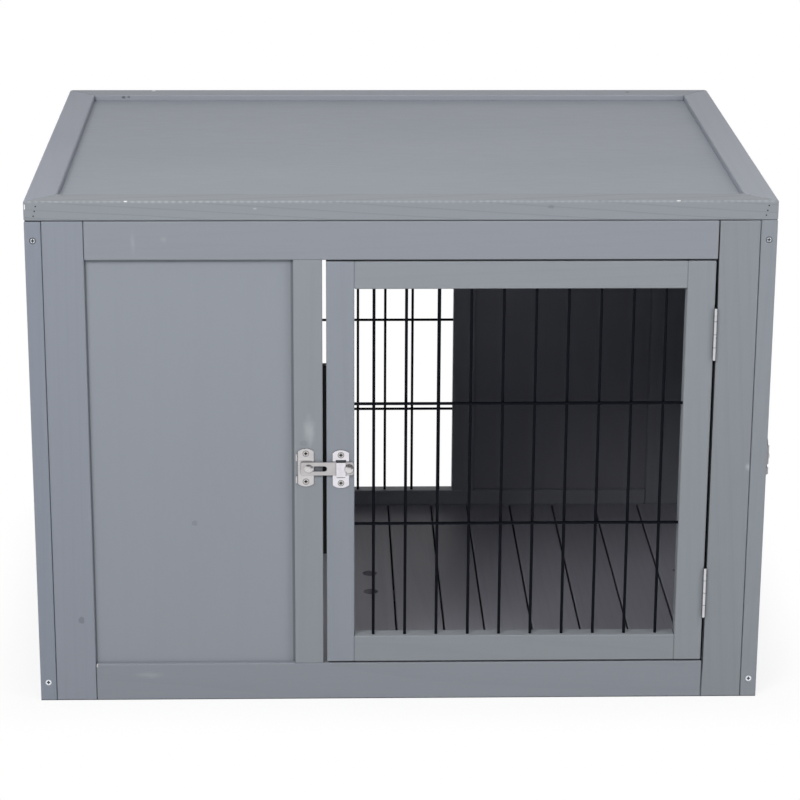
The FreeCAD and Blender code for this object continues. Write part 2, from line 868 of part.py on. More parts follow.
# Left wall, whose boards end just below the lid
post_left = "-overall_depth / 2"
left_groove = panel(
    "left_panel", LEFT, f"(-{HINGE_POST_LEFT})", HINGE_POST_LEFT, "rail_height", RAIL_TOP_Z
)
for end, x in (("front", HINGE_POST_LEFT), ("back", post_left)):
    seats = [left_groove] + [corner_screws[end, "left", level] for level in ("low", "high")]
    fitted(f"left_{end}_post", seats, LEFT, x, "0", "stile_width", "body_height - left_wall_drop")
for name, level, z, height in (
    ("left_top_rail", "high", RAIL_TOP_Z, "rail_height - left_wall_drop"),
    ("left_bottom_rail", "low", "0", "rail_height"),
):
    seats = [left_groove] + [corner_screws[end, "left", level] for end in ("front", "back")]
    fitted(name, seats, LEFT, f"-{HINGE_POST_LEFT}", z, f"2 * {HINGE_POST_LEFT}", height)

# Right wall
side_hinges = hinges("side", RIGHT, f"({HINGE_POST_LEFT} - hinge_gap / 2)")
side_plate_screws, side_stud, side_stud_shank = latch("side", RIGHT, LATCH_POST_RIGHT)
right_screws = {
    (end, level): corner_screws[end, "right", level]
    for end in ("front", "back")
    for level in ("low", "high")
}
fitted(
    "right_front_post",
    [right_screws["front", "low"], right_screws["front", "high"], *side_plate_screws, side_stud_shank],
    RIGHT,
    post_left,
    "0",
    "latch_post_width",
    "body_height",
)
fitted(
    "right_back_post",
    [right_screws["back", "low"], right_screws["back", "high"], *side_hinges["frame_screws"]],
    RIGHT,
    HINGE_POST_LEFT,
    "0",
    "stile_width",
    "body_height",
)
for name, level, z in (("right_top_rail", "high", RAIL_TOP_Z), ("right_bottom_rail", "low", "0")):
    fitted(
        name,
        [right_screws["front", level], right_screws["back", level]],
        RIGHT,
        LATCH_POST_RIGHT,
        z,
        f"{HINGE_POST_LEFT} - {LATCH_POST_RIGHT}",
        "rail_height",
    )
door_stop("side", RIGHT, LATCH_POST_RIGHT, "(latch_post_width - board_thickness)")

# Side door
side_groove = panel("side_door_panel", RIGHT, *door_opening(SIDE_DOOR_LEFT, SIDE_DOOR_RIGHT))
side_keeper_screws = keeper("side", RIGHT, SIDE_DOOR_LEFT)
door_boards(
    "side",
    RIGHT,
    SIDE_DOOR_LEFT,
    SIDE_DOOR_RIGHT,
    [side_groove],
    [side_groove, *side_keeper_screws],
    [side_groove, *side_hinges["door_screws"]],
)
keep(group("side_door_hinge_leaves", side_hinges["door"]))
keep(group("side_door_screws", side_keeper_screws + side_hinges["door_screws"]))

# Hardware that both doors have on the frame
keep(group("hinge_frame_leaves", front_hinges["frame"] + side_hinges["frame"]))
keep(group("hinge_pins", front_hinges["pins"] + side_hinges["pins"]))
keep(group("latch_studs", [front_stud, side_stud]))
frame_screws = front_plate_screws + side_plate_screws
frame_screws += front_hinges["frame_screws"] + side_hinges["frame_screws"]
keep(group("frame_hardware_screws", frame_screws))

# Lid: four mitred rails round a sunken panel, pinned at the corners
lid_pins = [
    rod(
        f"lid_pin_{wall.turn}_{number}_{step}",
        wall,
        f"{sign} (overall_width / 2 - lid_pin_inset) + ({step}) * lid_pin_lean",
        "0",
        f"body_height + lid_rail_height / 2 + ({step} * lid_pin_pitch)",
        INWARD,
        "lid_pin_diameter",
        "lid_pin_length",
    )
    for wall in (FRONT, BACK)
    for number, sign in enumerate("-+")
    for step in (-1, 0, 1)
]
keep(group("lid_pins", lid_pins))
lid_sheets = [
    box(
        f"lid_panel{ending}",
        FRONT,
        f"lid_rail_width - {reach} - overall_width / 2",
        f"lid_rail_width - {reach}",
        f"{LID_PANEL_Z} - {spare}",
        f"overall_width - 2 * lid_rail_width + 2 * {reach}",
        f"overall_depth - 2 * lid_rail_width + 2 * {reach}",
        f"lid_panel_thickness + 2 * {spare}",
    )
    for ending, spare, reach in (
        ("", "0", "panel_tongue"),
        ("_groove", "groove_clearance", "(panel_tongue + groove_clearance)"),
    )
]
keep(lid_sheets[0])
lid_sides = (
    ("lid_front_rail", FRONT, "overall_width"),
    ("lid_right_rail", RIGHT, "overall_depth"),
    ("lid_back_rail", BACK, "overall_width"),
    ("lid_left_rail", LEFT, "overall_depth"),
)
for name, wall, run in lid_sides:
    rail = doc.addObject("PartDesign::Body", f"{name}_board")
    mitred = [
        ("0", "0"),
        (run, "0"),
        (f"{run} - lid_rail_width", "lid_rail_width"),
        ("lid_rail_width", "lid_rail_width"),
    ]
    eased(rail, padded(rail, polygon(rail, "XY_Plane", mitred), "lid_rail_height"), "lid_arris")
    place(rail, wall, f"-{run} / 2", "0", "body_height")
    keep(cut(name, rail, [lid_sheets[1], *lid_pins]))

# Floor: boards from front to back on three bearers, one of them with two finger holes. Full boards run from
# the right wall to the left, and two narrow ones make up the width, near the middle and at the left wall.
full_total = int(value(f"2 * {INNER_X} / floor_board_pitch")) - 1
full_right = full_total // 2 - 1
floor_plan = [True] * full_right + [False] + [True] * (full_total - full_right) + [False]
finger_board = full_right + 2
narrow = f"((2 * {INNER_X} - {full_total} * floor_board_pitch) / 2)"
floor_depth = "(overall_depth - 2 * board_thickness - 2 * floor_end_gap)"
floor_boards = []
for number, full in enumerate(floor_plan):
    passed = floor_plan[: number + 1]
    left_edge = f"({INNER_X} - {sum(passed)} * floor_board_pitch - {passed.count(False)} * {narrow})"
    step = "floor_board_pitch" if full else narrow
    where = (
        FRONT,
        f"{left_edge} + floor_board_gap / 2",
        FLOOR_UNDER_Z,
        f"{step} - floor_board_gap",
        "floor_board_thickness",
    )
    along = {"inward": "board_thickness + floor_end_gap", "thickness": floor_depth}
    if number != finger_board:
        floor_boards.append(board(f"floor_board_{number}", *where, **along))
        continue
    finger_holes = [
        rod(
            f"finger_hole_{turn}",
            FRONT,
            f"{left_edge} + floor_board_pitch / 2",
            f"overall_depth / 2 {sign} finger_hole_spacing / 2",
            FLOOR_UNDER_Z,
            UPWARD,
            "finger_hole_diameter",
            "floor_board_thickness",
        )
        for turn, sign in enumerate("-+")
    ]
    fitted("floor_finger_board", finger_holes, *where, **along)
keep(group("floor_boards", floor_boards))
bearer_places = ("board_thickness", "overall_depth / 2 - floor_bearer_width / 2")
bearer_places += ("overall_depth - board_thickness - floor_bearer_width",)
bearers = [
    board(
        f"floor_bearer_{number}",
        FRONT,
        f"-{INNER_X}",
        f"{FLOOR_UNDER_Z} - floor_bearer_height",
        f"2 * {INNER_X}",
        "floor_bearer_height",
        inward=inward,
        thickness="floor_bearer_width",
    )
    for number, inward in enumerate(bearer_places)
]
keep(group("floor_bearers", bearers))

doc.recompute()
failed = [thing.Label for thing in doc.Objects if {"Invalid", "Error"} & set(thing.State)]
failed += [node.Label for node in nodes if node.Shape.isNull() or not node.Shape.isValid()]
if failed:
    raise RuntimeError(f"not built: {failed}")
os.makedirs("parts", exist_ok=True)
for node in nodes:
    node.Shape.exportStep(f"parts/{node.Label}.step")
print(f"{len(nodes)} sub-parts, {sum(len(node.Shape.Solids) for node in nodes)} solids")
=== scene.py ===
import logging
import math
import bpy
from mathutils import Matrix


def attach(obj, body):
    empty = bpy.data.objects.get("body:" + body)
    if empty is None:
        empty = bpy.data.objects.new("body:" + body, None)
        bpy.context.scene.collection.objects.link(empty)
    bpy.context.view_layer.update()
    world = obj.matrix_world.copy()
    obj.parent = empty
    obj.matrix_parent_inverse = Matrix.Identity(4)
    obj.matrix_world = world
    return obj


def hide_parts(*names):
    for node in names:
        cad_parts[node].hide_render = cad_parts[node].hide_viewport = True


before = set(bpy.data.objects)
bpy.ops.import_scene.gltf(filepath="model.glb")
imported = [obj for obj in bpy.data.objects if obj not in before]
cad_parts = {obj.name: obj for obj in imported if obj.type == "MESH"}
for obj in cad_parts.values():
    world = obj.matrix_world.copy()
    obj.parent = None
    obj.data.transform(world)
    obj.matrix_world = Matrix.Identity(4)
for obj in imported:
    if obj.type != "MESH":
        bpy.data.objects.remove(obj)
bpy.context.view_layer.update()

import zlib
from dataclasses import dataclass
from enum import Enum

import bpy
import numpy as np
from mathutils import Matrix, Vector

# A painted wooden pet crate, dressed around its solids. Values whose names end in _mm are millimetres in
# the row frame: X to the right as one faces the front, Y from front to back, Z up.

MM = 0.001
RECESS = "recess"
# A Wave texture repeats after this length at a scale of one
WAVE_PERIOD = 2 * math.pi / 20
WHITE = (1.0, 1.0, 1.0, 1.0)
Triple = tuple[float, float, float]
Screw = tuple[Triple, Triple]
Tree, Socket = bpy.types.NodeTree, bpy.types.NodeSocket
log = logging.getLogger("pet_crate")


def linear(code: str) -> tuple[float, float, float, float]:
    """Turn an sRGB hex colour into linear light.

    Args:
        code: Colour as "#rrggbb".

    Returns:
        Red, green, blue and an alpha of one.
    """
    parts = [int(code[start : start + 2], 16) / 255 for start in (1, 3, 5)]
    red, green, blue = (c / 12.92 if c <= 0.04045 else ((c + 0.055) / 1.055) ** 2.4 for c in parts)
    return red, green, blue, 1.0


def add(tree: Tree, kind: str, inputs: dict | None = None, **settings: object) -> bpy.types.Node:
    """Add a node with its settings, values and links.

    Args:
        tree: Node tree that gets the node.
        kind: Type of the node, without the ShaderNode that each begins with.
        inputs: Input name or number, each with a constant, an output, or a node for its first output.
        settings: Properties of the node itself.

    Returns:
        The new node.
    """
    made = tree.nodes.new("ShaderNode" + kind)
    for name, setting in settings.items():
        setattr(made, name, setting)
    for key, given in (inputs or {}).items():
        source = given.outputs[0] if isinstance(given, bpy.types.Node) else given
        if isinstance(source, Socket):
            tree.links.new(source, made.inputs[key])
        else:
            made.inputs[key].default_value = source
    return made


class Grain(Enum):
    """The axis of the row frame along which a board's grain runs."""

    ACROSS = 0
    DEEP = 1
    UPRIGHT = 2

    def stretch(self, along: float, across: float) -> Triple:
        """Give a scale for each axis.

        Args:
            along: Scale along the grain.
            across: Scale on the other two axes.

        Returns:
            The three scales.
        """
        scale = [across] * 3
        scale[self.value] = along
        return tuple(scale)

    def letter(self) -> str:
        """Give the axis as a letter."""
        return "XYZ"[self.value]


class Wear(Enum):
    """Kinds of mark, each with its colour: wear from use and the workshop, and painted shade and highlight.
    """

    CHIP = "#f4f3f0"
    SCUFF = "#c3c8cc"
    # Real dark spots on some boards, and painted shade beside the latch and keeper on others
    SPOT = "#3f4246"
    # Pale chatter ticks on the lid's arris, partly a painted highlight of its rounded edge
    CHATTER = "#c4c9ce"
    # Near black painted shadow in gaps, slits and the finger holes
    DIRT = "#101116"


@dataclass(frozen=True)
class Mark:
    """One mark on a surface, as an ellipsoid with a ragged edge in the row frame."""

    wear: Wear
    place_mm: Triple
    radii_mm: Triple
    strength: float = 1.0
    # In shares of the radii: how far the edge wanders, where it lies, and over what width it fades
    ragged: float = 0.9
    edge: float = 1.45
    fade: float = 0.15
    soft_fade: float = 1.0
    tick_mm: float = 7.4
    patch_mm: float = 150.0

    def mask(self, tree: Tree, place: Socket) -> Socket:
        """Add nodes that are one inside the mark and zero outside it.

        Args:
            tree: Node tree of the paint.
            place: Object coordinates.

        Returns:
            The mask's output.
        """
        scale = tuple(1 / (radius * MM) for radius in self.radii_mm)
        shift = tuple(-at * MM * by for at, by in zip(self.place_mm, scale))
        local = add(tree, "Mapping", {0: place, "Location": shift, "Scale": scale})
        reach = add(tree, "VectorMath", {0: local}, operation="LENGTH")
        wander = add(tree, "TexNoise", {"Vector": local, "Scale": 1.7, "Detail": 3.0})
        from_edge = add(
            tree, "Math", {0: wander, 1: self.ragged, 2: reach.outputs["Value"]}, operation="MULTIPLY_ADD"
        )
        fade = self.soft_fade if self.wear in (Wear.SCUFF, Wear.CHATTER) else self.fade
        inside = add(
            tree,
            "MapRange",
            {"Value": from_edge, 1: self.edge, 2: self.edge - fade, 3: 0.0, 4: self.strength},
            interpolation_type="SMOOTHSTEP",
        )
        if self.wear is Wear.CHATTER:
            return self.ripple(tree, place, inside.outputs[0])
        return inside.outputs[0]

    def ripple(self, tree: Tree, place: Socket, inside: Socket) -> Socket:
        """Break a chatter mark into the ticks that a moulder's knives leave along X, stronger in patches.

        The ticks' pale colour is partly a painted highlight of the rounded arris.

        Args:
            tree: Node tree of the paint.
            place: Object coordinates.
            inside: Mask of the whole mark.

        Returns:
            The ticks' mask.
        """
        ticks = add(
            tree,
            "TexWave",
            {"Vector": place, "Scale": WAVE_PERIOD / (self.tick_mm * MM), "Distortion": 0.6},
        )
        patches = add(tree, "TexNoise", {"Vector": place, "Scale": 1 / (self.patch_mm * MM)})
        some = add(tree, "MapRange", {"Value": patches, 1: 0.35, 2: 0.65, 3: 0.15, 4: 1.0})
        lit = add(tree, "Math", {0: ticks.outputs["Fac"], 1: some}, operation="MULTIPLY")
        return add(tree, "Math", {0: lit, 1: inside}, operation="MULTIPLY").outputs[0]


def marked(tree: Tree, place: Socket, colour: Socket, marks: tuple[Mark, ...]) -> Socket:
    """Lay marks over a colour, one after another.

    Args:
        tree: Node tree of the finish.
        place: Object coordinates.
        colour: Colour without marks.
        marks: The marks.

    Returns:
        The colour with them.
    """
    for mark in marks:
        colour = add(
            tree,
            "Mix",
            {0: mark.mask(tree, place), 6: colour, 7: linear(mark.wear.value)},
            data_type="RGBA",
        ).outputs[2]
    return colour


class Finish:
    """A surface's material, made once for each piece that wears it."""

    def blank(self, label: str) -> tuple[bpy.types.Material, Tree, bpy.types.Node]:
        """Start a material.

        Args:
            label: Name of the material.

        Returns:
            The material, its node tree and its shader.
        """
        material = bpy.data.materials.new(label)
        material.use_nodes = True
        tree = material.node_tree
        return material, tree, tree.nodes["Principled BSDF"]

    def material(self, label: str) -> bpy.types.Material:
        """Make the material for one piece."""
        raise NotImplementedError

    def dress(self, piece: bpy.types.Object) -> None:
        """Give a piece this finish alone.

        Args:
            piece: CAD node or new piece.
        """
        piece.data.materials.clear()
        piece.data.materials.append(self.material(f"{type(self).__name__}_{piece.name}"))
        log.info("%s wears %s", piece.name, type(self).__name__)


@dataclass(frozen=True)
class PaintedPine(Finish):
    """Satin water-borne paint sprayed on planed pine.

    The paint hides the wood's colour, but the growth rings and fibres still show through as faint lines
    along the board, and the film is a little uneven. Ring figure is a slanted set of cylinders round a
    heart outside the board, as in a flat-sawn board. In joints and gaps the colour is darkened where an
    ambient occlusion node finds them, as painted shade, so that they read as black lines.
    """

    tone: str = "#8f949b"
    grain: Grain = Grain.UPRIGHT
    figure_share: float = 0.022
    fibre_share: float = 0.06
    cloud_share: float = 0.05
    ring_mm: float = 9.0
    late_from: float = 0.55
    # Real fibres are some hundredths of a millimetre wide: these are as coarse as the picture needs
    fibre_mm: tuple[float, float] = (70.0, 1.3)
    cloud_mm: float = 70.0
    roughness: float = 0.52
    roughness_spread: float = 0.16
    specular: float = 0.35
    bump_mm: float = 0.6
    bump_strength: float = 0.5
    # Painted shade in joints and gaps: how far round a point they count, the openness from dark to clear,
    # and how dark
    crevice_mm: float = 5.0
    crevice_from: tuple[float, float] = (0.06, 0.38)
    crevice_share: float = 0.9
    marks: tuple[Mark, ...] = ()

    def draw(self, label: str) -> np.random.Generator:
        """Give a board its own run of random numbers, from its name."""
        return np.random.default_rng(zlib.crc32(label.encode()))

    def shade(self, tree: Tree, place: Socket, label: str) -> tuple[Socket, Socket]:
        """Add the lines and clouds that vary the paint's tone.

        Args:
            tree: Node tree of the paint.
            place: Object coordinates.
            label: Name of the board.

        Returns:
            A factor near one for the tone, and the clouds alone.
        """
        rng = self.draw(label)
        away = rng.uniform(-4, 4, 3)  # Fibres and clouds of each board come from another place
        turn = rng.uniform(0.25, 0.5, 2) * rng.choice((-1, 1), 2)
        heart = rng.uniform(0.03, 0.09, 3) * rng.choice((-1, 1), 3)  # Metres from the board to its pith
        slant = {"Rotation": self.grain.stretch(0.0, turn[0]), "Scale": self.grain.stretch(0.08, 1.0)}
        ringed = add(tree, "Mapping", {0: place, "Location": tuple(heart)} | slant)
        wobble = {"Distortion": 3.0, "Detail": 1.5, "Detail Scale": 0.6}
        rings = add(
            tree,
            "TexWave",
            {"Vector": ringed, "Scale": WAVE_PERIOD / (self.ring_mm * MM)} | wobble,
            wave_type="RINGS",
            rings_direction=self.grain.letter(),
            wave_profile="SAW",
        )
        late = add(
            tree,
            "MapRange",
            {"Value": rings.outputs["Fac"], 1: self.late_from, 2: 1.0, 3: 0.0, 4: -self.figure_share},
            interpolation_type="SMOOTHSTEP",
        )
        streak = self.grain.stretch(*(1 / (size * MM) for size in self.fibre_mm))
        drawn = add(tree, "Mapping", {0: place, "Location": tuple(away), "Scale": streak})
        fibres = add(tree, "TexNoise", {"Vector": drawn, "Scale": 1.0, "Detail": 4.0})
        long_cloud = self.grain.stretch(0.35, 1.0)
        spread = add(tree, "Mapping", {0: place, "Location": tuple(-away), "Scale": long_cloud})
        clouds = add(tree, "TexNoise", {"Vector": spread, "Scale": 1 / (self.cloud_mm * MM), "Detail": 3.0})
        middle = 1 - (self.fibre_share + self.cloud_share) / 2 + self.figure_share / 5
        tone = add(tree, "Math", {0: late, 1: middle}, operation="ADD")
        for texture, share in ((fibres, self.fibre_share), (clouds, self.cloud_share)):
            tone = add(tree, "Math", {0: texture, 1: share, 2: tone}, operation="MULTIPLY_ADD")
        return tone.outputs[0], clouds.outputs[0]

    def material(self, label: str) -> bpy.types.Material:
        """Make the paint for one board.

        Args:
            label: Name of the material.

        Returns:
            The material.
        """
        material, tree, shader = self.blank(label)
        place = add(tree, "TexCoord").outputs["Object"]
        tone, clouds = self.shade(tree, place, label)
        # Painted shade: darken the colour where ambient occlusion finds joints and gaps
        open_ = add(tree, "AmbientOcclusion", {"Distance": self.crevice_mm * MM}, samples=4)
        deep, clear = self.crevice_from
        crevice_shade = add(
            tree,
            "MapRange",
            {"Value": open_.outputs["AO"], 1: deep, 2: clear, 3: 1 - self.crevice_share, 4: 1.0},
        )
        shaded_tone = add(tree, "Math", {0: tone, 1: crevice_shade}, operation="MULTIPLY")
        colour = add(
            tree, "VectorMath", {0: linear(self.tone)[:3], "Scale": shaded_tone}, operation="SCALE"
        ).outputs[0]
        colour = marked(tree, place, colour, self.marks)
        sheen = add(
            tree,
            "Math",
            {0: clouds, 1: self.roughness_spread, 2: self.roughness - self.roughness_spread / 2},
            operation="MULTIPLY_ADD",
        )
        bump = add(
            tree, "Bump", {"Height": tone, "Strength": self.bump_strength, "Distance": self.bump_mm * MM}
        )
        tree.links.new(colour, shader.inputs["Base Color"])
        tree.links.new(sheen.outputs[0], shader.inputs["Roughness"])
        tree.links.new(bump.outputs[0], shader.inputs["Normal"])
        shader.inputs["Specular IOR Level"].default_value = self.specular
        return material


@dataclass(frozen=True)
class PaintedPly(PaintedPine):
    """The same paint on thin rotary-cut plywood: short flecks along the grain, and hardly any rings."""

    tone: str = "#8e939a"
    figure_share: float = 0.008
    fibre_share: float = 0.035
    cloud_share: float = 0.05
    ring_mm: float = 26.0
    fibre_mm: tuple[float, float] = (26.0, 1.5)
    cloud_mm: float = 110.0


@dataclass(frozen=True)
class FloorPine(PaintedPine):
    """The same paint on narrow floor boards, each cut from another place, so their tones differ."""

    tone: str = "#8f8e97"
    grain: Grain = Grain.DEEP
    figure_share: float = 0.04
    fibre_share: float = 0.12
    board_mm: float = 57.3
    board_share: float = 0.16
    board_shift: float = 0.16

    def shade(self, tree: Tree, place: Socket, label: str) -> tuple[Socket, Socket]:
        """Add a tone for each board to the lines and clouds of the paint.

        Args:
            tree: Node tree of the paint.
            place: Object coordinates.
            label: Name of the piece.

        Returns:
            A factor near one for the tone, and the clouds alone.
        """
        tone, clouds = super().shade(tree, place, label)
        across = add(tree, "SeparateXYZ", {0: place}).outputs[0]
        turn = add(
            tree,
            "Math",
            {0: across, 1: 1 / (self.board_mm * MM), 2: self.board_shift},
            operation="MULTIPLY_ADD",
        )
        board = add(tree, "Math", {0: turn}, operation="FLOOR")
        drawn = add(tree, "TexWhiteNoise", {"W": board}, noise_dimensions="1D")
        own = add(
            tree,
            "Math",
            {0: drawn, 1: self.board_share, 2: 1 - self.board_share / 2},
            operation="MULTIPLY_ADD",
        )
        mixed = add(tree, "Math", {0: tone, 1: own}, operation="MULTIPLY")
        return mixed.outputs[0], clouds


@dataclass(frozen=True)
class BlackWire(Finish):
    """Drawn steel wire with a baked black coat: deep, slightly glossy, with the coat's fine orange peel."""

    tone: str = "#090a0e"
    glint: str = "#a9b4d6"
    # Real orange peel is finer still: this is as coarse as the picture needs
    peel_mm: float = 1.2
    peel_shades: tuple[float, float] = (0.8, 1.25)
    peel_deep_mm: float = 0.1
    roughness: float = 0.42
    roughness_spread: float = 0.2
    specular: float = 0.15

    def material(self, label: str) -> bpy.types.Material:
        """Make the coat.

        Args:
            label: Name of the material.

        Returns:
            The material.
        """
        material, tree, shader = self.blank(label)
        place = add(tree, "TexCoord").outputs["Object"]
        peel = add(tree, "TexNoise", {"Vector": place, "Scale": 1 / (self.peel_mm * MM), "Detail": 2.0})
        dark, pale = self.peel_shades
        shade = add(tree, "MapRange", {"Value": peel, 1: 0.3, 2: 0.7, 3: dark, 4: pale})
        colour = add(tree, "VectorMath", {0: linear(self.tone)[:3], "Scale": shade}, operation="SCALE")
        rough = add(
            tree,
            "Math",
            {0: peel, 1: self.roughness_spread, 2: self.roughness - self.roughness_spread / 2},
            operation="MULTIPLY_ADD",
        )
        bump = add(tree, "Bump", {"Height": peel, "Strength": 0.25, "Distance": self.peel_deep_mm * MM})
        tree.links.new(colour.outputs[0], shader.inputs["Base Color"])
        tree.links.new(rough.outputs[0], shader.inputs["Roughness"])
        tree.links.new(bump.outputs[0], shader.inputs["Normal"])
        shader.inputs["Specular IOR Level"].default_value = self.specular
        shader.inputs["Specular Tint"].default_value = linear(self.glint)
        return material


@dataclass(frozen=True)
class PlatedSteel(Finish):
    """Stamped steel with a bright plate.

    It was tumbled before plating, so fine scratches soften its mirror. Its colour greys in bends and corners
    that an ambient occlusion node finds, partly as thin plate and partly as painted shade, and darkens in
    the recesses and seats of screws, which the attribute RECESS marks, as painted shade.
    """

    tone: str = "#bcb9b7"
    roughness: float = 0.30
    roughness_spread: float = 0.24
    # Painted shade in the cross recesses and seats of screws
    recess_tone: str = "#24211f"
    # Real scratches are finer: these are as coarse as the picture needs
    scratch_mm: tuple[float, float] = (5.0, 0.25)
    scratch_turn: Triple = (0.3, 0.2, 0.5)
    scratch_deep_mm: float = 0.05
    smudge_mm: float = 9.0
    smudge_shades: tuple[float, float] = (0.9, 1.06)
    # Corners and bends, partly thin plate and partly painted shade: how far round a point they count, the
    # openness from grey to bright, and how grey
    corner_mm: float = 2.2
    corner_from: tuple[float, float] = (0.3, 0.9)
    corner_share: float = 0.75
    marks: tuple[Mark, ...] = ()

    def material(self, label: str) -> bpy.types.Material:
        """Make the plate.

        Args:
            label: Name of the material.

        Returns:
            The material.
        """
        material, tree, shader = self.blank(label)
        place = add(tree, "TexCoord").outputs["Object"]
        streak = Grain.ACROSS.stretch(*(1 / (size * MM) for size in self.scratch_mm))
        drawn = add(tree, "Mapping", {0: place, "Rotation": self.scratch_turn, "Scale": streak})
        scratches = add(tree, "TexNoise", {"Vector": drawn, "Scale": 1.0, "Detail": 3.0})
        smudges = add(
            tree, "TexNoise", {"Vector": place, "Scale": 1 / (self.smudge_mm * MM), "Detail": 3.0}
        )
        dark, pale = self.smudge_shades
        shade = add(tree, "MapRange", {"Value": smudges, 1: 0.3, 2: 0.7, 3: dark, 4: pale})
        # Grey in corners and bends found by ambient occlusion: partly thin plate, partly painted shade
        open_ = add(tree, "AmbientOcclusion", {"Distance": self.corner_mm * MM}, samples=8)
        grey, bright = self.corner_from
        corner_wear_and_shade = add(
            tree,
            "MapRange",
            {"Value": open_.outputs["AO"], 1: grey, 2: bright, 3: 1 - self.corner_share, 4: 1.0},
        )
        both = add(tree, "Math", {0: shade, 1: corner_wear_and_shade}, operation="MULTIPLY")
        plate = add(tree, "VectorMath", {0: linear(self.tone)[:3], "Scale": both}, operation="SCALE")
        # Painted shade in the recesses and seats of screws, carried by the attribute
        sunk = add(tree, "Attribute", attribute_name=RECESS)
        colour = add(
            tree, "Mix", {0: sunk.outputs["Fac"], 6: plate, 7: linear(self.recess_tone)}, data_type="RGBA"
        ).outputs[2]
        colour = marked(tree, place, colour, self.marks)
        rough = add(
            tree,
            "Math",
            {0: smudges, 1: self.roughness_spread, 2: self.roughness - self.roughness_spread / 2},
            operation="MULTIPLY_ADD",
        )
        bump = add(
            tree, "Bump", {"Height": scratches, "Strength": 0.2, "Distance": self.scratch_deep_mm * MM}
        )
        tree.links.new(colour, shader.inputs["Base Color"])
        tree.links.new(rough.outputs[0], shader.inputs["Roughness"])
        tree.links.new(bump.outputs[0], shader.inputs["Normal"])
        shader.inputs["Metallic"].default_value = 1.0
        return material


# Painted shadow along the bar's upper edge on its plate, and in the fold of the keeper's strap
BAR_SHADE = Mark(Wear.SPOT, (-105.5, -301.5, 288.8), (8.0, 4.0, 0.8), 0.5)
STRAP_FOLD_SHADOW = Mark(Wear.SPOT, (-67.2, -303.0, 269.0), (6.0, 4.0, 0.8), 0.6)
# Nickel over polished steel is warm and bright. The keeper's is lighter, as a painted reflection of the
# white surround. The side latch's is duller, and darker as painted shade, and the hinge's greys widely round
# its knuckles, also as painted shade. Zinc is bluer and whiter, and the lid's brads are hardly plated at
# all.
NICKEL = PlatedSteel(tone="#d0cdce", marks=(BAR_SHADE,))
BAR_NICKEL = PlatedSteel(tone="#c2bfc0")
# Lighter tone: painted reflection of the white surround on the keeper
BRIGHT_NICKEL = PlatedSteel(tone="#e7e5eb", roughness=0.26, marks=(STRAP_FOLD_SHADOW,))
POLISHED_NICKEL = PlatedSteel(tone="#d3d1d1", roughness=0.26)
# Wide, deep grey round the knuckles: painted shade on the hinge's barrel
HINGE_NICKEL = PlatedSteel(tone="#d2d2d4", corner_mm=6.0, corner_from=(0.5, 0.97), corner_share=0.85)
# Darker tone: painted shade on the side latch
SHADED_DULL_NICKEL = PlatedSteel(tone="#a2a3a6", roughness=0.38)
SCREW_NICKEL = PlatedSteel(tone="#cfcccc", corner_share=0.3)
ZINC = PlatedSteel(tone="#eff4fa", roughness=0.26, recess_tone="#464c53", corner_share=0.3)
DARK_BRAD = PlatedSteel(tone="#3f362f", roughness=0.5)
BLACK_WIRE = BlackWire()


class Skin:
    """Arrays of points and faces that become one piece."""

    def __init__(self) -> None:
        """Start with nothing."""
        self.points: list[np.ndarray] = []
        self.sunk: list[np.ndarray] = []
        self.faces: list[list[int]] = []
        self.total = 0

    def close(self, rings: np.ndarray, first: np.ndarray, last: np.ndarray, sunk: np.ndarray) -> None:
        """Add a closed skin: rings of points from one pole to the other.

        Neighbouring rings are joined by quads, and each pole by a fan of triangles.

        Args:
            rings: Points as an array of rings, points in a ring, and three coordinates.
            first: Pole before the first ring.
            last: Pole after the last ring.
            sunk: How far each point of the rings, and then each pole, lies in a recess, from 0 to 1.
        """
        count, around = rings.shape[:2]
        index = np.arange(count * around).reshape(count, around) + self.total
        onward = np.roll(index, -1, axis=1)
        quads = np.stack([index[:-1], onward[:-1], onward[1:], index[1:]], axis=-1).reshape(-1, 4)
        start, end = self.total + count * around, self.total + count * around + 1
        cap = np.stack([np.full(around, start), onward[0], index[0]], axis=-1)
        foot = np.stack([np.full(around, end), index[-1], onward[-1]], axis=-1)
        self.points += [rings.reshape(-1, 3), first.reshape(1, 3), last.reshape(1, 3)]
        self.sunk.append(sunk)
        self.faces += quads.tolist() + cap.tolist() + foot.tolist()
        self.total = end + 1

    def piece(self, name: str, body: str, slot: str) -> bpy.types.Object:
        """Make the piece and let it ride on a body.

        Args:
            name: Name of the piece.
            body: CAD body that it rides on.
            slot: Not used.

        Returns:
            The new object.
        """
        mesh = bpy.data.meshes.new(name)
        mesh.from_pydata(np.concatenate(self.points) * MM, [], self.faces)
        mesh.polygons.foreach_set("use_smooth", np.ones(len(mesh.polygons), bool))
        mesh.attributes.new(RECESS, "FLOAT", "POINT").data.foreach_set("value", np.concatenate(self.sunk))
        mesh.update()
        piece = bpy.data.objects.new(name, mesh)
        bpy.context.scene.collection.objects.link(piece)
        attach(piece, body)
        log.info("%s has %d faces and rides on %s", name, len(self.faces), body)
        return piece


def basis(aim: Triple) -> np.ndarray:
    """Give three columns, the last of which points along a direction.

    Args:
        aim: Direction along one axis of the row frame.

    Returns:
        A 3 by 3 array with no mirror in it.
    """
    forward = np.array(aim, float)
    side = np.roll(forward, 1)
    return np.column_stack([side, np.cross(forward, side), forward])


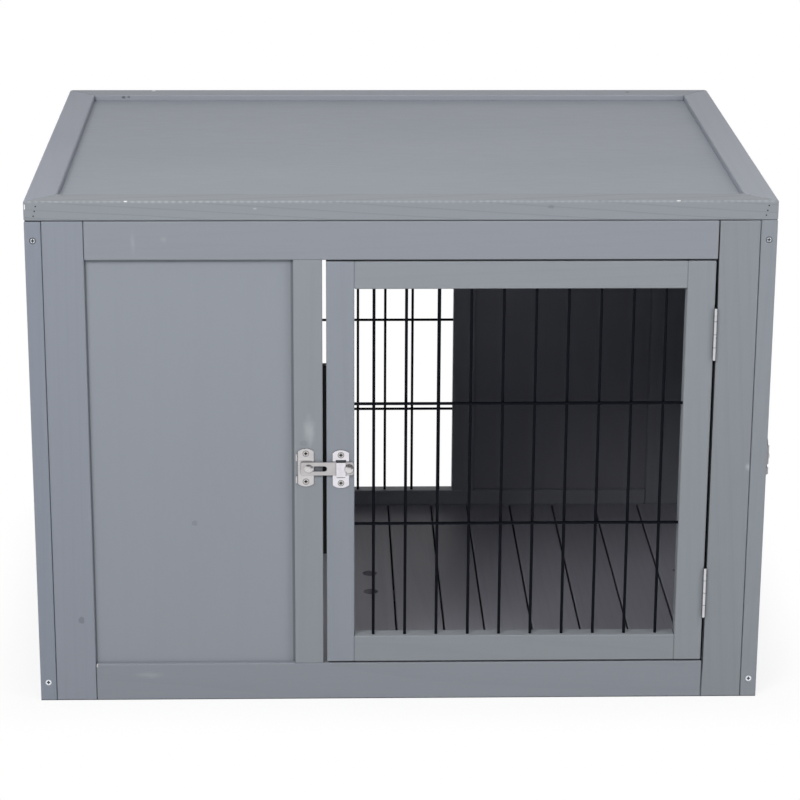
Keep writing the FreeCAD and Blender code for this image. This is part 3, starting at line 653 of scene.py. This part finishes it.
@dataclass(frozen=True)
class ScrewSet:
    """Countersunk cross-head screws of one kind on one body."""

    node: str
    body: str
    places_mm: tuple[Triple, ...]
    aims: tuple[Triple, ...]
    head_mm: tuple[float, ...]
    sink_mm: tuple[float, ...]
    shank_mm: float
    length_mm: float
    seat_from: tuple[float, ...]
    finish: Finish
    # Ring of painted shadow where the head meets its seat: how dark, and over what share of the radius it
    # fades
    seat_share: float = 0.95
    seat_fade: float = 0.1
    around: int = 48
    # Cross recess: half width of an arm in shares of the head's radius, the part of it that is flat, and the
    # arm's reach. Its depth is a share of the head's own depth, and falls by another towards the rim
    arm_half: float = 0.14
    arm_flat: float = 0.7
    arm_reach: float = 0.46
    recess_depth: float = 0.55
    recess_rise: float = 0.6

    def one(self, number: int) -> tuple[np.ndarray, np.ndarray, np.ndarray, np.ndarray]:
        """Work out one screw's skin.

        Over the head, a point at radius r and angle a lies a depth below the surface that is the cross
        recess: full within an arm's half width, falling smoothly to none at its edge and its end, and less
        deep away from the middle. Below the rim the skin is a profile turned about the axis: the cone of the
        head, then the shank. The recess, a ring at the head's rim and the hidden cone and shank count as
        sunk, so the recess and the gap round the head's seat take a dark tone that is painted shade.

        Args:
            number: Which screw of the set.

        Returns:
            The rings, the pole on the head, the pole at the tip, and how far each point is in a recess.
        """
        head, sink, shank = self.head_mm[number] / 2, self.sink_mm[number], self.shank_mm / 2
        angle = np.linspace(0, 2 * np.pi, self.around, endpoint=False)
        shares = np.linspace(0.08, 0.98, 13)  # Rings from the middle of the head to its rim
        r, a = np.meshgrid(head * shares, angle, indexing="ij")
        x, y = r * np.cos(a), r * np.sin(a)
        half, reach = self.arm_half * head, self.arm_reach * head
        flat = self.arm_flat * half
        deep = self.recess_depth * min(sink, head / 2)

        def fall(distance: np.ndarray, start: float, width: float) -> np.ndarray:
            """Go smoothly from one to zero over a width."""
            t = np.clip((distance - start) / width, 0, 1)
            return 1 - t * t * (3 - 2 * t)

        arm = np.maximum(
            fall(np.abs(x), flat, half) * fall(np.abs(y), reach, half),
            fall(np.abs(y), flat, half) * fall(np.abs(x), reach, half),
        )
        depth = deep * arm * (1 - self.recess_rise * r / head)
        top = np.stack([x, y, depth], axis=-1)
        rim = [(head, 0.05 * sink), (0.985 * head, 0.12 * sink)]
        profile = np.array([*rim, (shank, sink), (shank, self.length_mm)])
        ring = np.stack([np.cos(angle), np.sin(angle)], axis=-1)
        turned = np.concatenate(
            [
                profile[:, None, :1] * ring[None],
                np.broadcast_to(profile[:, None, 1:], (len(profile), self.around, 1)),
            ],
            axis=-1,
        )
        frame_axes = basis(self.aims[number])
        origin = np.array(self.places_mm[number])
        rings = np.concatenate([top, turned]) @ frame_axes.T + origin
        pole = np.array((0, 0, deep)) @ frame_axes.T + origin
        tip = np.array((0, 0, self.length_mm)) @ frame_axes.T + origin
        # Painted shadow in the gap round the head's rim
        seat = np.clip((r / head - self.seat_from[number]) / self.seat_fade, 0, 1) * self.seat_share
        sunk = np.concatenate([np.maximum(arm, seat).ravel(), np.ones(len(profile) * self.around + 2)])
        return rings, pole, tip, sunk

    def build(self) -> bpy.types.Object:
        """Make the screws in place of their plain solids.

        Returns:
            The new piece.
        """
        skin = Skin()
        for number in range(len(self.places_mm)):
            skin.close(*self.one(number))
        piece = skin.piece(f"{self.node}_recessed", self.body, "steel")
        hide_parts(self.node)
        self.finish.dress(piece)
        return piece


@dataclass(frozen=True)
class WireGrille:
    """A grille of welded wire: a CAD node, and the weld nuggets where its wires cross."""

    node: str
    welds: str
    body: str
    middle_mm: Triple
    upright_count: int
    upright_pitch_mm: float
    crossbar_count: int
    crossbar_pitch_mm: float
    nugget_mm: Triple = (2.2, 1.4, 2.2)

    def build(self) -> bpy.types.Object:
        """Make the nuggets: ellipsoids on a grid of latitude and longitude, one at each crossing.

        Returns:
            The new piece.
        """
        latitude = np.linspace(-0.4, 0.4, 5) * np.pi
        longitude = np.linspace(0, 2 * np.pi, 10, endpoint=False)
        up, round_ = np.meshgrid(latitude, longitude, indexing="ij")
        ball = np.stack([np.cos(up) * np.cos(round_), np.cos(up) * np.sin(round_), np.sin(up)], axis=-1)
        size = np.array(self.nugget_mm)
        along = (np.arange(self.upright_count) - (self.upright_count - 1) / 2) * self.upright_pitch_mm
        above = (np.arange(self.crossbar_count) - (self.crossbar_count - 1) / 2) * self.crossbar_pitch_mm
        skin = Skin()
        for x, z in np.stack(np.meshgrid(along, above), axis=-1).reshape(-1, 2):
            centre = np.array(self.middle_mm) + (x, 0, z)
            top, foot = centre + (0, 0, size[2]), centre - (0, 0, size[2])
            skin.close(ball[::-1] * size + centre, top, foot, np.zeros(ball[..., 0].size + 2))
        piece = skin.piece(self.welds, self.body, "wire")
        BLACK_WIRE.dress(piece)
        return piece

    def dress(self) -> None:
        """Give the wires their coat."""
        BLACK_WIRE.dress(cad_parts[self.node])


FRONT_GRILLE = WireGrille(
    "front_door_grille", "front_door_welds", "front_door", (130.75, -294.95, 283.4), 10, 35.8, 2, 141.6
)
BACK_GRILLE = WireGrille("back_grille", "back_welds", "crate", (-130.6, 290.55, 279.8), 12, 36.0, 3, 123.5)


class Woodwork:
    """A sub-assembly of boards and sheets, each with its own paint."""

    def paints(self) -> dict[str, Finish]:
        """Give the paint of each board."""
        raise NotImplementedError

    def dress(self) -> None:
        """Paint every board."""
        for node, paint in self.paints().items():
            paint.dress(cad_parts[node])
        log.info("%s is painted", type(self).__name__)


@dataclass(frozen=True)
class Lid(Woodwork):
    """Mitred rails round a sunken sheet; the front arris shows chatter, partly a painted highlight."""

    half_width_mm: float = 410.0
    front_mm: float = -300.0
    back_mm: float = 294.0
    top_mm: float = 586.0
    panel_edge_mm: float = 266.5

    def paints(self) -> dict[str, Finish]:
        """Give the paint of each board of the lid.

        Chatter, partly a painted highlight, runs along the front arris, with chips at mitres and corners.

        Returns:
            Each node with its paint.
        """
        front, back, inner, top = self.front_mm, self.back_mm, self.panel_edge_mm, self.top_mm
        front_marks = (
            # Chatter ticks along the front arris, pale partly as a painted highlight of its rounded edge
            Mark(Wear.CHATTER, (0.0, front + 0.6, top - 0.6), (2000.0, 3.4, 2.6), 0.4),
            Mark(Wear.CHIP, (-299.5, front + 0.8, top), (2.2, 1.5, 1.2), 0.85),
            Mark(Wear.CHIP, (300.5, front + 0.8, top), (2.6, 1.4, 1.1), 0.8),
            Mark(Wear.CHIP, (-self.half_width_mm, front, top - 6.0), (2.5, 3.0, 3.6)),
            Mark(Wear.SPOT, (161.7, front, top - 6.7), (3.6, 2.0, 2.2), 0.22),
            Mark(Wear.SCUFF, (-159.8, front, top - 8.4), (3.0, 2.0, 1.4), 0.8),
        )
        back_marks = (
            Mark(Wear.CHIP, (-302.8, back, top), (3.0, 2.4, 1.6), 0.8),
            Mark(Wear.SPOT, (-339.5, inner, top - 2.8), (2.6, 1.6, 1.8), 0.65),
            Mark(Wear.SPOT, (-333.0, inner, top - 2.4), (2.0, 1.6, 1.5), 0.55),
            Mark(Wear.SPOT, (305.7, back - 9.0, top), (3.0, 2.0, 1.6), 0.8),
        )
        return {
            "lid_front_rail": PaintedPine(
                "#8f949a", Grain.ACROSS, 0.13, ring_mm=7.0, late_from=0.8, marks=front_marks
            ),
            "lid_back_rail": PaintedPine("#9498a0", Grain.ACROSS, marks=back_marks),
            "lid_left_rail": PaintedPine("#979ba6", Grain.DEEP),
            "lid_right_rail": PaintedPine("#9da1aa", Grain.DEEP),
            "lid_panel": PaintedPly("#959aa3", Grain.ACROSS, fibre_share=0.16, fibre_mm=(32.0, 4.0)),
        }


@dataclass(frozen=True)
class Walls(Woodwork):
    """The four walls of the box and the stops of its doors."""

    front_mm: float = -300.0
    panel_front_mm: float = -294.0
    # Near black for the door stops: painted shade of the dark behind the doors
    shade_tone: str = "#1c1d21"
    inner_tone: str = "#8b8c93"
    back_panel_tone: str = "#888890"
    left_tone: str = "#8c929d"
    middle_z_mm: float = 282.0

    def front_paints(self) -> dict[str, Finish]:
        """Give the paint of the front wall, with the marks that use has left on it.

        Painted shadow darkens the hinge gap, the sheet's side edges and the stile seen through the latch
        bar's slot.

        Returns:
            Each node with its paint.
        """
        front, sheet = self.front_mm, self.panel_front_mm
        mid_marks = (
            Mark(Wear.SCUFF, (-102.0, front, 322.0), (9.0, 3.0, 24.0), 0.42),
            Mark(Wear.SPOT, (-108.0, front, 309.0), (4.5, 2.0, 3.5), 0.12),
            # Painted shadow of the latch bar on the stile, seen through the bar's slot
            Mark(Wear.SPOT, (-92.1, front, 279.0), (7.0, 2.0, 4.0), 0.6),
        )
        top_marks = (
            Mark(Wear.SCUFF, (-292.7, front, 539.0), (4.0, 3.0, 18.0), 0.16),
            Mark(Wear.SCUFF, (-259.0, front, 543.0), (5.0, 3.0, 6.0), 0.14),
        )
        low_marks = (
            Mark(Wear.CHIP, (-345.0, front, 42.2), (1.2, 1.5, 2.2), 0.55),
            Mark(Wear.SCUFF, (-285.6, front, 30.1), (22.0, 3.0, 6.0), 0.18),
        )
        # Painted shadow that widens the dark hinge gap along the stile's edge
        hinge_gap_shadow = Mark(Wear.DIRT, (346.8, front, self.middle_z_mm), (1.2, 6.0, 300.0))
        rubbed = Mark(Wear.SCUFF, (389.2, front, 279.1), (4.0, 2.0, 6.0), 0.5)
        left_marks = (Mark(Wear.SPOT, (-361.1, front, 98.3), (3.5, 2.0, 4.5), 0.3),)
        panel_marks = (
            Mark(Wear.SPOT, (-231.3, sheet, 212.8), (3.4, 2.0, 3.4), 0.2),
            # Painted shadow lines along the sheet's left and right edges
            Mark(Wear.DIRT, (-346.5, sheet, self.middle_z_mm), (2.2, 3.0, 600.0), 0.35),
            Mark(Wear.DIRT, (-119.8, sheet, self.middle_z_mm), (2.2, 3.0, 600.0), 0.35),
        )
        return {
            "front_left_stile": PaintedPine("#8f949e", marks=left_marks),
            "front_right_stile": PaintedPine(
                "#8c9197", figure_share=0.03, fibre_share=0.1, marks=(hinge_gap_shadow, rubbed)
            ),
            "front_mid_stile": PaintedPine("#90959b", marks=mid_marks),
            "front_top_rail": PaintedPine("#91959d", Grain.ACROSS, 0.012, marks=top_marks),
            "front_bottom_rail": PaintedPine("#8d9199", Grain.ACROSS, marks=low_marks),
            "front_panel": PaintedPly("#9499a1", marks=panel_marks),
        }

    def paints(self) -> dict[str, Finish]:
        """Give the paint of every wall: the stops are near black, as painted shade of the dark behind the
        doors.

        Returns:
            Each node with its paint.
        """
        paints = self.front_paints()
        paints["back_panel"] = PaintedPly(self.back_panel_tone)
        paints["left_panel"] = PaintedPly()
        paints["left_front_post"] = PaintedPine(self.left_tone)
        uprights = ("left_back_post", "right_front_post", "right_back_post")
        paints |= dict.fromkeys(uprights, PaintedPine())
        deep = ("left_top_rail", "left_bottom_rail", "right_top_rail", "right_bottom_rail")
        paints |= dict.fromkeys(deep, PaintedPine(grain=Grain.DEEP))
        behind = ("back_left_stile", "back_right_stile", "back_mid_stile")
        paints |= dict.fromkeys(behind, PaintedPine(self.inner_tone))
        level = ("back_top_rail", "back_bottom_rail")
        paints |= dict.fromkeys(level, PaintedPine(self.inner_tone, Grain.ACROSS))
        # Painted shade: the stops are near black
        paints |= dict.fromkeys(("front_door_stop", "side_door_stop"), PaintedPine(self.shade_tone))
        return paints


@dataclass(frozen=True)
class Deck(Woodwork):
    """The floor and the bearers under it."""

    top_mm: float = 24.0
    hole_x_mm: float = -28.65
    hole_y_mm: float = 31.0

    def paints(self) -> dict[str, Finish]:
        """Give the paint of the floor: the walls of the finger holes are near black, as painted shade.

        Returns:
            Each node with its paint.
        """
        dark_spot = Mark(Wear.SPOT, (356.8, 35.8, self.top_mm), (3.0, 4.0, 2.0), 0.8)
        # Painted shade on the walls of the finger holes
        holes = tuple(
            Mark(Wear.DIRT, (self.hole_x_mm, y, self.top_mm - 10.0), (8.0, 8.0, 12.0))
            for y in (-self.hole_y_mm, self.hole_y_mm)
        )
        return {
            "floor_boards": FloorPine(marks=(dark_spot,)),
            "floor_finger_board": FloorPine(marks=holes),
            "floor_bearers": PaintedPine(grain=Grain.ACROSS),
        }


@dataclass(frozen=True)
class Doors(Woodwork):
    """The frames of both doors and the sheet of the side one."""

    front_mm: float = -300.0
    stile_tone: str = "#90959e"
    hinge_tone: str = "#8f949a"
    top_tone: str = "#91969c"
    bottom_tone: str = "#8e9399"

    def paints(self) -> dict[str, Finish]:
        """Give the paint of each board of the doors: painted shade darkens the stile behind the keeper's
        window.

        Returns:
            Each node with its paint.
        """
        # Painted shade on the stile behind the keeper's window
        keeper_window_shade = Mark(Wear.SPOT, (-67.2, self.front_mm, 287.4), (9.0, 2.0, 4.0), 0.8)
        return {
            "front_door_latch_stile": PaintedPine(self.stile_tone, marks=(keeper_window_shade,)),
            "front_door_hinge_stile": PaintedPine(self.hinge_tone, fibre_share=0.08),
            "front_door_top_rail": PaintedPine(self.top_tone, Grain.ACROSS),
            "front_door_bottom_rail": PaintedPine(self.bottom_tone, Grain.ACROSS),
            "side_door_latch_stile": PaintedPine(),
            "side_door_hinge_stile": PaintedPine(),
            "side_door_top_rail": PaintedPine(grain=Grain.DEEP),
            "side_door_bottom_rail": PaintedPine(grain=Grain.DEEP),
            "side_door_panel": PaintedPly(),
        }


@dataclass(frozen=True)
class Hardware:
    """The plated latches, hinges and pins, which stay as they were modelled."""

    plate: Finish = NICKEL
    bar: Finish = BAR_NICKEL
    knob: Finish = POLISHED_NICKEL
    keeper: Finish = BRIGHT_NICKEL
    side: Finish = SHADED_DULL_NICKEL
    hinge: Finish = HINGE_NICKEL
    brad: Finish = DARK_BRAD

    def plates(self) -> dict[str, Finish]:
        """Give the plate of each node.

        Returns:
            Each node with its plate.
        """
        plates = {
            "front_latch_plate": self.plate,
            "front_latch_bar": self.bar,
            "front_latch_knob": self.knob,
            "front_door_keeper": self.keeper,
            "latch_studs": self.knob,
            "lid_pins": self.brad,
        }
        sides = ("side_latch_plate", "side_latch_bar", "side_latch_knob", "side_door_keeper")
        hinges = ("front_door_hinge_leaves", "side_door_hinge_leaves", "hinge_frame_leaves", "hinge_pins")
        return plates | dict.fromkeys(sides, self.side) | dict.fromkeys(hinges, self.hinge)

    def dress(self) -> None:
        """Plate every piece."""
        for node, plate in self.plates().items():
            plate.dress(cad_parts[node])
        log.info("%s is plated", type(self).__name__)


@dataclass(frozen=True)
class Fixings:
    """Places of all the screws, from the sizes of what they hold."""

    corner_x_mm: float = 401.0
    wall_y_mm: float = 300.0
    corner_z_mm: tuple[float, float] = (22.0, 542.0)
    screw_spread_mm: float = 33.0
    front_plate_z_mm: float = 281.0
    front_keeper_z_mm: float = 279.0
    side_plate_z_mm: float = 288.0
    side_keeper_z_mm: float = 286.0
    hinge_z_mm: tuple[float, ...] = (112.0, 146.0, 418.0, 452.0)
    plate_x_mm: float = -106.05
    keeper_x_mm: float = -66.95
    plate_face_mm: float = -301.56
    side_plate_y_mm: float = -286.85
    side_keeper_y_mm: float = -247.75
    side_face_mm: float = 411.56
    hinge_x_mm: float = 345.5
    hinge_y_mm: float = -292.0
    side_hinge_y_mm: float = 253.5
    side_hinge_x_mm: float = 402.0
    leaf_gap_mm: float = 0.1
    # Head, depth of head, shank and length of the corner screws, and of those in plates and hinge leaves
    corner_screw_mm: tuple[float, ...] = (7.4, 2.2, 4.0, 76.0)
    plate_head_mm: tuple[float, float] = (7.2, 1.5)
    leaf_head_mm: tuple[float, float] = (5.0, 0.9)
    plate_shank_mm: tuple[float, float] = (3.0, 14.0)
    # Share of a head's radius that stands clear of its seat's painted shadow: the upper corner screws get a
    # wide ring of it, so that they look set deep in the wood
    seat_low: float = 0.86
    seat_high: float = 0.62
    seat_plate: float = 0.8

    def corners(self) -> ScrewSet:
        """Give the long screws of the corner posts.

        Returns:
            The set.
        """
        places = tuple(
            (sx * self.corner_x_mm, sy * self.wall_y_mm, z)
            for sx in (-1, 1)
            for sy in (-1, 1)
            for z in self.corner_z_mm
        )
        aims = tuple((0.0, -math.copysign(1, place[1]), 0.0) for place in places)
        seats = (self.seat_low, self.seat_high) * (len(places) // 2)
        head, sink, shank, length = self.corner_screw_mm
        heads, sinks = (head,) * len(places), (sink,) * len(places)
        return ScrewSet("corner_screws", "crate", places, aims, heads, sinks, shank, length, seats, ZINC)

    def plates(self, node: str, body: str, flat: list[Screw], leaf: list[Screw]) -> ScrewSet:
        """Give a body's screws through plates, and then those through hinge leaves.

        Args:
            node: CAD node that they stand for.
            body: CAD body that they ride on.
            flat: Place and aim of each screw through a plate.
            leaf: Place and aim of each screw through a hinge leaf.

        Returns:
            The set.
        """
        places, aims = zip(*(flat + leaf))
        heads, sinks = zip(*[self.plate_head_mm] * len(flat), *[self.leaf_head_mm] * len(leaf))
        seats = (self.seat_plate,) * len(places)
        return ScrewSet(node, body, places, aims, heads, sinks, *self.plate_shank_mm, seats, SCREW_NICKEL)

    def sets(self) -> tuple[ScrewSet, ...]:
        """Give every set of screws.

        Returns:
            One set for each CAD node of screws.
        """
        inward, leftward = (0.0, 1.0, 0.0), (-1.0, 0.0, 0.0)
        rightward, outward = (1.0, 0.0, 0.0), (0.0, -1.0, 0.0)
        gap, half = self.leaf_gap_mm, self.screw_spread_mm / 2
        front, side = self.plate_face_mm, self.side_face_mm
        hinge_x, hinge_y = self.hinge_x_mm, self.hinge_y_mm
        side_x, side_y = self.side_hinge_x_mm, self.side_hinge_y_mm

        def pair(x: float, y: float, z: float, aim: Triple) -> list[Screw]:
            """Give a plate's two screws, the lower one first."""
            return [((x, y, z - half), aim), ((x, y, z + half), aim)]

        def row(x: float, y: float, aim: Triple) -> list[Screw]:
            """Give the screws of a door's hinge leaves on one side of the joint."""
            return [((x, y, z), aim) for z in self.hinge_z_mm]

        frame_flat = pair(self.plate_x_mm, front, self.front_plate_z_mm, inward)
        frame_flat += pair(side, self.side_plate_y_mm, self.side_plate_z_mm, leftward)
        frame_leaf = row(hinge_x + gap, hinge_y, rightward) + row(side_x, side_y + gap, inward)
        front_flat = pair(self.keeper_x_mm, front, self.front_keeper_z_mm, inward)
        front_leaf = row(hinge_x - gap, hinge_y, leftward)
        side_flat = pair(side, self.side_keeper_y_mm, self.side_keeper_z_mm, leftward)
        side_leaf = row(side_x, side_y - gap, outward)
        return (
            self.corners(),
            self.plates("frame_hardware_screws", "crate", frame_flat, frame_leaf),
            self.plates("front_door_screws", "front_door", front_flat, front_leaf),
            self.plates("side_door_screws", "side_door", side_flat, side_leaf),
        )


@dataclass(frozen=True)
class Softbox:
    """A large soft lamp, aimed at a point and hidden from mirrors, so that metal shows only the surround."""

    name: str
    place: Triple
    target: Triple
    size: tuple[float, float]
    power: float

    def build(self) -> None:
        """Hang the lamp."""
        lamp = bpy.data.lights.new(self.name, "AREA")
        lamp.shape = "RECTANGLE"
        lamp.size, lamp.size_y = self.size
        lamp.energy = self.power
        stand = bpy.data.objects.new(self.name, lamp)
        stand.location = self.place
        stand.visible_glossy = False
        aim = Vector(self.target) - Vector(self.place)
        stand.rotation_euler = aim.to_track_quat("-Z", "Y").to_euler()
        bpy.context.scene.collection.objects.link(stand)


@dataclass(frozen=True)
class Studio:
    """A pale floor, a white surround, soft lamps and the camera."""

    floor_half: float = 40.0
    floor_tone: str = "#b9bbbd"
    # Painted shade: the dark colour of the floor under the crate
    under_tone: str = "#4a4a4d"
    # How much of the floor beside the crate takes its shadow, and how far out, in metres
    shadow_share: float = 0.18
    shadow_reach: float = 0.11
    footprint: Triple = (0.41, 0.30, 0.0)
    # Levels of the surround: as light on the crate, and in mirrors overhead and to the right
    ambient: float = 0.12
    zenith: float = 0.12
    far_side: float = 0.25
    # In metres and degrees, from the photograph's edges
    camera_place: Triple = (-0.0853, -3.2338, 1.3053)
    camera_yaw: float = -1.638
    camera_tilt: float = 72.138
    camera_roll: float = 0.315
    camera_lens_mm: float = 125.2
    camera_sensor_mm: float = 36.0
    lamps: tuple[Softbox, ...] = (
        Softbox("top_softbox", (0.0, -0.2, 2.5), (0.0, 0.0, 0.3), (2.2, 1.6), 13.4),
        Softbox("near_softbox", (-0.2, -1.7, 1.7), (0.0, -0.25, 0.35), (1.6, 0.8), 12.2),
        Softbox("left_softbox", (-1.8, -2.8, 2.4), (0.0, -0.2, 0.35), (1.6, 1.2), 56.5),
        Softbox("right_softbox", (2.4, -1.9, 1.5), (0.0, -0.2, 0.4), (1.2, 1.8), 32.4),
        # Lower than the lid, so that they reach only the sides and the back
        Softbox("back_softbox", (0.5, 2.8, 0.29), (0.0, 0.3, 0.29), (2.0, 0.5), 34.0),
        Softbox("left_fill", (-2.6, 0.6, 0.29), (-0.4, 0.0, 0.29), (1.6, 0.5), 18.0),
        Softbox("right_fill", (2.6, 0.6, 0.29), (0.4, 0.0, 0.29), (1.6, 0.5), 15.0),
    )

    def seen(self, tree: Tree) -> Socket:
        """Add a mask of rays that see the surround itself: from the camera, a mirror or glass.

        Args:
            tree: Node tree of the floor or the world.

        Returns:
            The mask's output.
        """
        path = add(tree, "LightPath").outputs
        straight = add(
            tree, "Math", {0: path["Is Camera Ray"], 1: path["Is Glossy Ray"]}, operation="MAXIMUM"
        )
        return add(
            tree, "Math", {0: straight, 1: path["Is Transmission Ray"]}, operation="MAXIMUM"
        ).outputs[0]

    def build_floor(self) -> None:
        """Lay the floor: white, with a soft shadow near the crate and painted shade under it."""
        corner = self.floor_half * np.array([(-1, -1, 0), (1, -1, 0), (1, 1, 0), (-1, 1, 0)], float)
        mesh = bpy.data.meshes.new("studio_floor")
        mesh.from_pydata(corner, [], [(0, 1, 2, 3)])
        floor = bpy.data.objects.new("studio_floor", mesh)
        bpy.context.scene.collection.objects.link(floor)
        material = bpy.data.materials.new("pale_studio_floor")
        material.use_nodes = True
        tree = material.node_tree
        tree.nodes.clear()
        place = add(tree, "TexCoord").outputs["Object"]
        past = place
        for operation, other in (
            ("ABSOLUTE", self.footprint), ("SUBTRACT", self.footprint), ("MAXIMUM", (0.0, 0.0, 0.0))
        ):
            past = add(tree, "VectorMath", {0: past, 1: other}, operation=operation).outputs[0]
        far = add(tree, "VectorMath", {0: past}, operation="LENGTH")
        near = add(
            tree,
            "MapRange",
            {"Value": far.outputs["Value"], 1: 0.0, 2: self.shadow_reach, 3: self.shadow_share, 4: 0.0},
            interpolation_type="SMOOTHSTEP",
        )
        under = add(tree, "Math", {0: far.outputs["Value"], 1: 0.0, 2: 1e-6}, operation="COMPARE")
        white = add(tree, "Emission", {"Color": WHITE, "Strength": 1.0})
        lit = add(tree, "BsdfDiffuse", {"Color": WHITE})
        open_floor = add(tree, "MixShader", {0: near, 1: white, 2: lit})
        # Under the crate only lamplight, on a dark colour that is painted shade
        under_shade = add(tree, "BsdfDiffuse", {"Color": linear(self.under_tone)})
        shown = add(tree, "MixShader", {0: under, 1: open_floor, 2: under_shade})
        bounce = add(tree, "BsdfDiffuse", {"Color": linear(self.floor_tone)})
        both = add(tree, "MixShader", {0: self.seen(tree), 1: bounce, 2: shown})
        add(tree, "OutputMaterial", {"Surface": both})
        mesh.materials.append(material)

    def build_world(self) -> None:
        """Surround the scene with white that lights the object only gently and dims overhead in mirrors."""
        world = bpy.data.worlds.new("white_surround")
        world.use_nodes = True
        tree = world.node_tree
        tree.nodes.clear()
        strength = add(
            tree,
            "Math",
            {0: self.seen(tree), 1: 1 - self.ambient, 2: self.ambient},
            operation="MULTIPLY_ADD",
        )
        way = add(tree, "TexCoord").outputs["Generated"]
        toward = add(tree, "SeparateXYZ", {0: way}).outputs
        dusk = add(tree, "MapRange", {"Value": toward["Z"], 1: 0.4, 2: 0.8, 3: 1.0, 4: self.zenith})
        east = add(tree, "MapRange", {"Value": toward["X"], 1: 0.3, 2: 0.8, 3: 1.0, 4: self.far_side})
        dimmed = add(tree, "Math", {0: dusk, 1: east}, operation="MULTIPLY")
        mirrored = add(tree, "LightPath").outputs["Is Glossy Ray"]
        strength = add(tree, "Mix", {0: mirrored, 2: strength, 3: dimmed}, data_type="FLOAT")
        sky = add(tree, "Background", {"Color": WHITE, "Strength": strength})
        add(tree, "OutputWorld", {"Surface": sky})
        bpy.context.scene.world = world

    def build_camera(self) -> None:
        """Set the camera where the photograph was taken from: turned, tilted and slightly rolled."""
        data = bpy.data.cameras.new("camera")
        data.sensor_width = self.camera_sensor_mm
        data.lens = self.camera_lens_mm
        camera = bpy.data.objects.new("camera", data)
        turns = ((self.camera_yaw, "Z"), (self.camera_tilt, "X"), (self.camera_roll, "Z"))
        matrix = Matrix.Translation(self.camera_place)
        for angle, axis in turns:
            matrix = matrix @ Matrix.Rotation(math.radians(angle), 4, axis)
        camera.matrix_world = matrix
        bpy.context.scene.collection.objects.link(camera)
        bpy.context.scene.camera = camera

    def build(self) -> None:
        """Set up the whole studio."""
        bpy.context.scene.view_settings.view_transform = "Standard"
        self.build_floor()
        self.build_world()
        self.build_camera()
        for lamp in self.lamps:
            lamp.build()


def main() -> None:
    """Dress the crate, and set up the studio."""
    logging.basicConfig(level=logging.INFO, format="%(name)s: %(message)s")
    Studio().build()
    for assembly in (Walls(), Lid(), Deck(), Doors(), Hardware(), FRONT_GRILLE, BACK_GRILLE):
        assembly.dress()
    for grille in (FRONT_GRILLE, BACK_GRILLE):
        grille.build()
    for screws in Fixings().sets():
        screws.build()


if __name__ == "__main__":
    main()
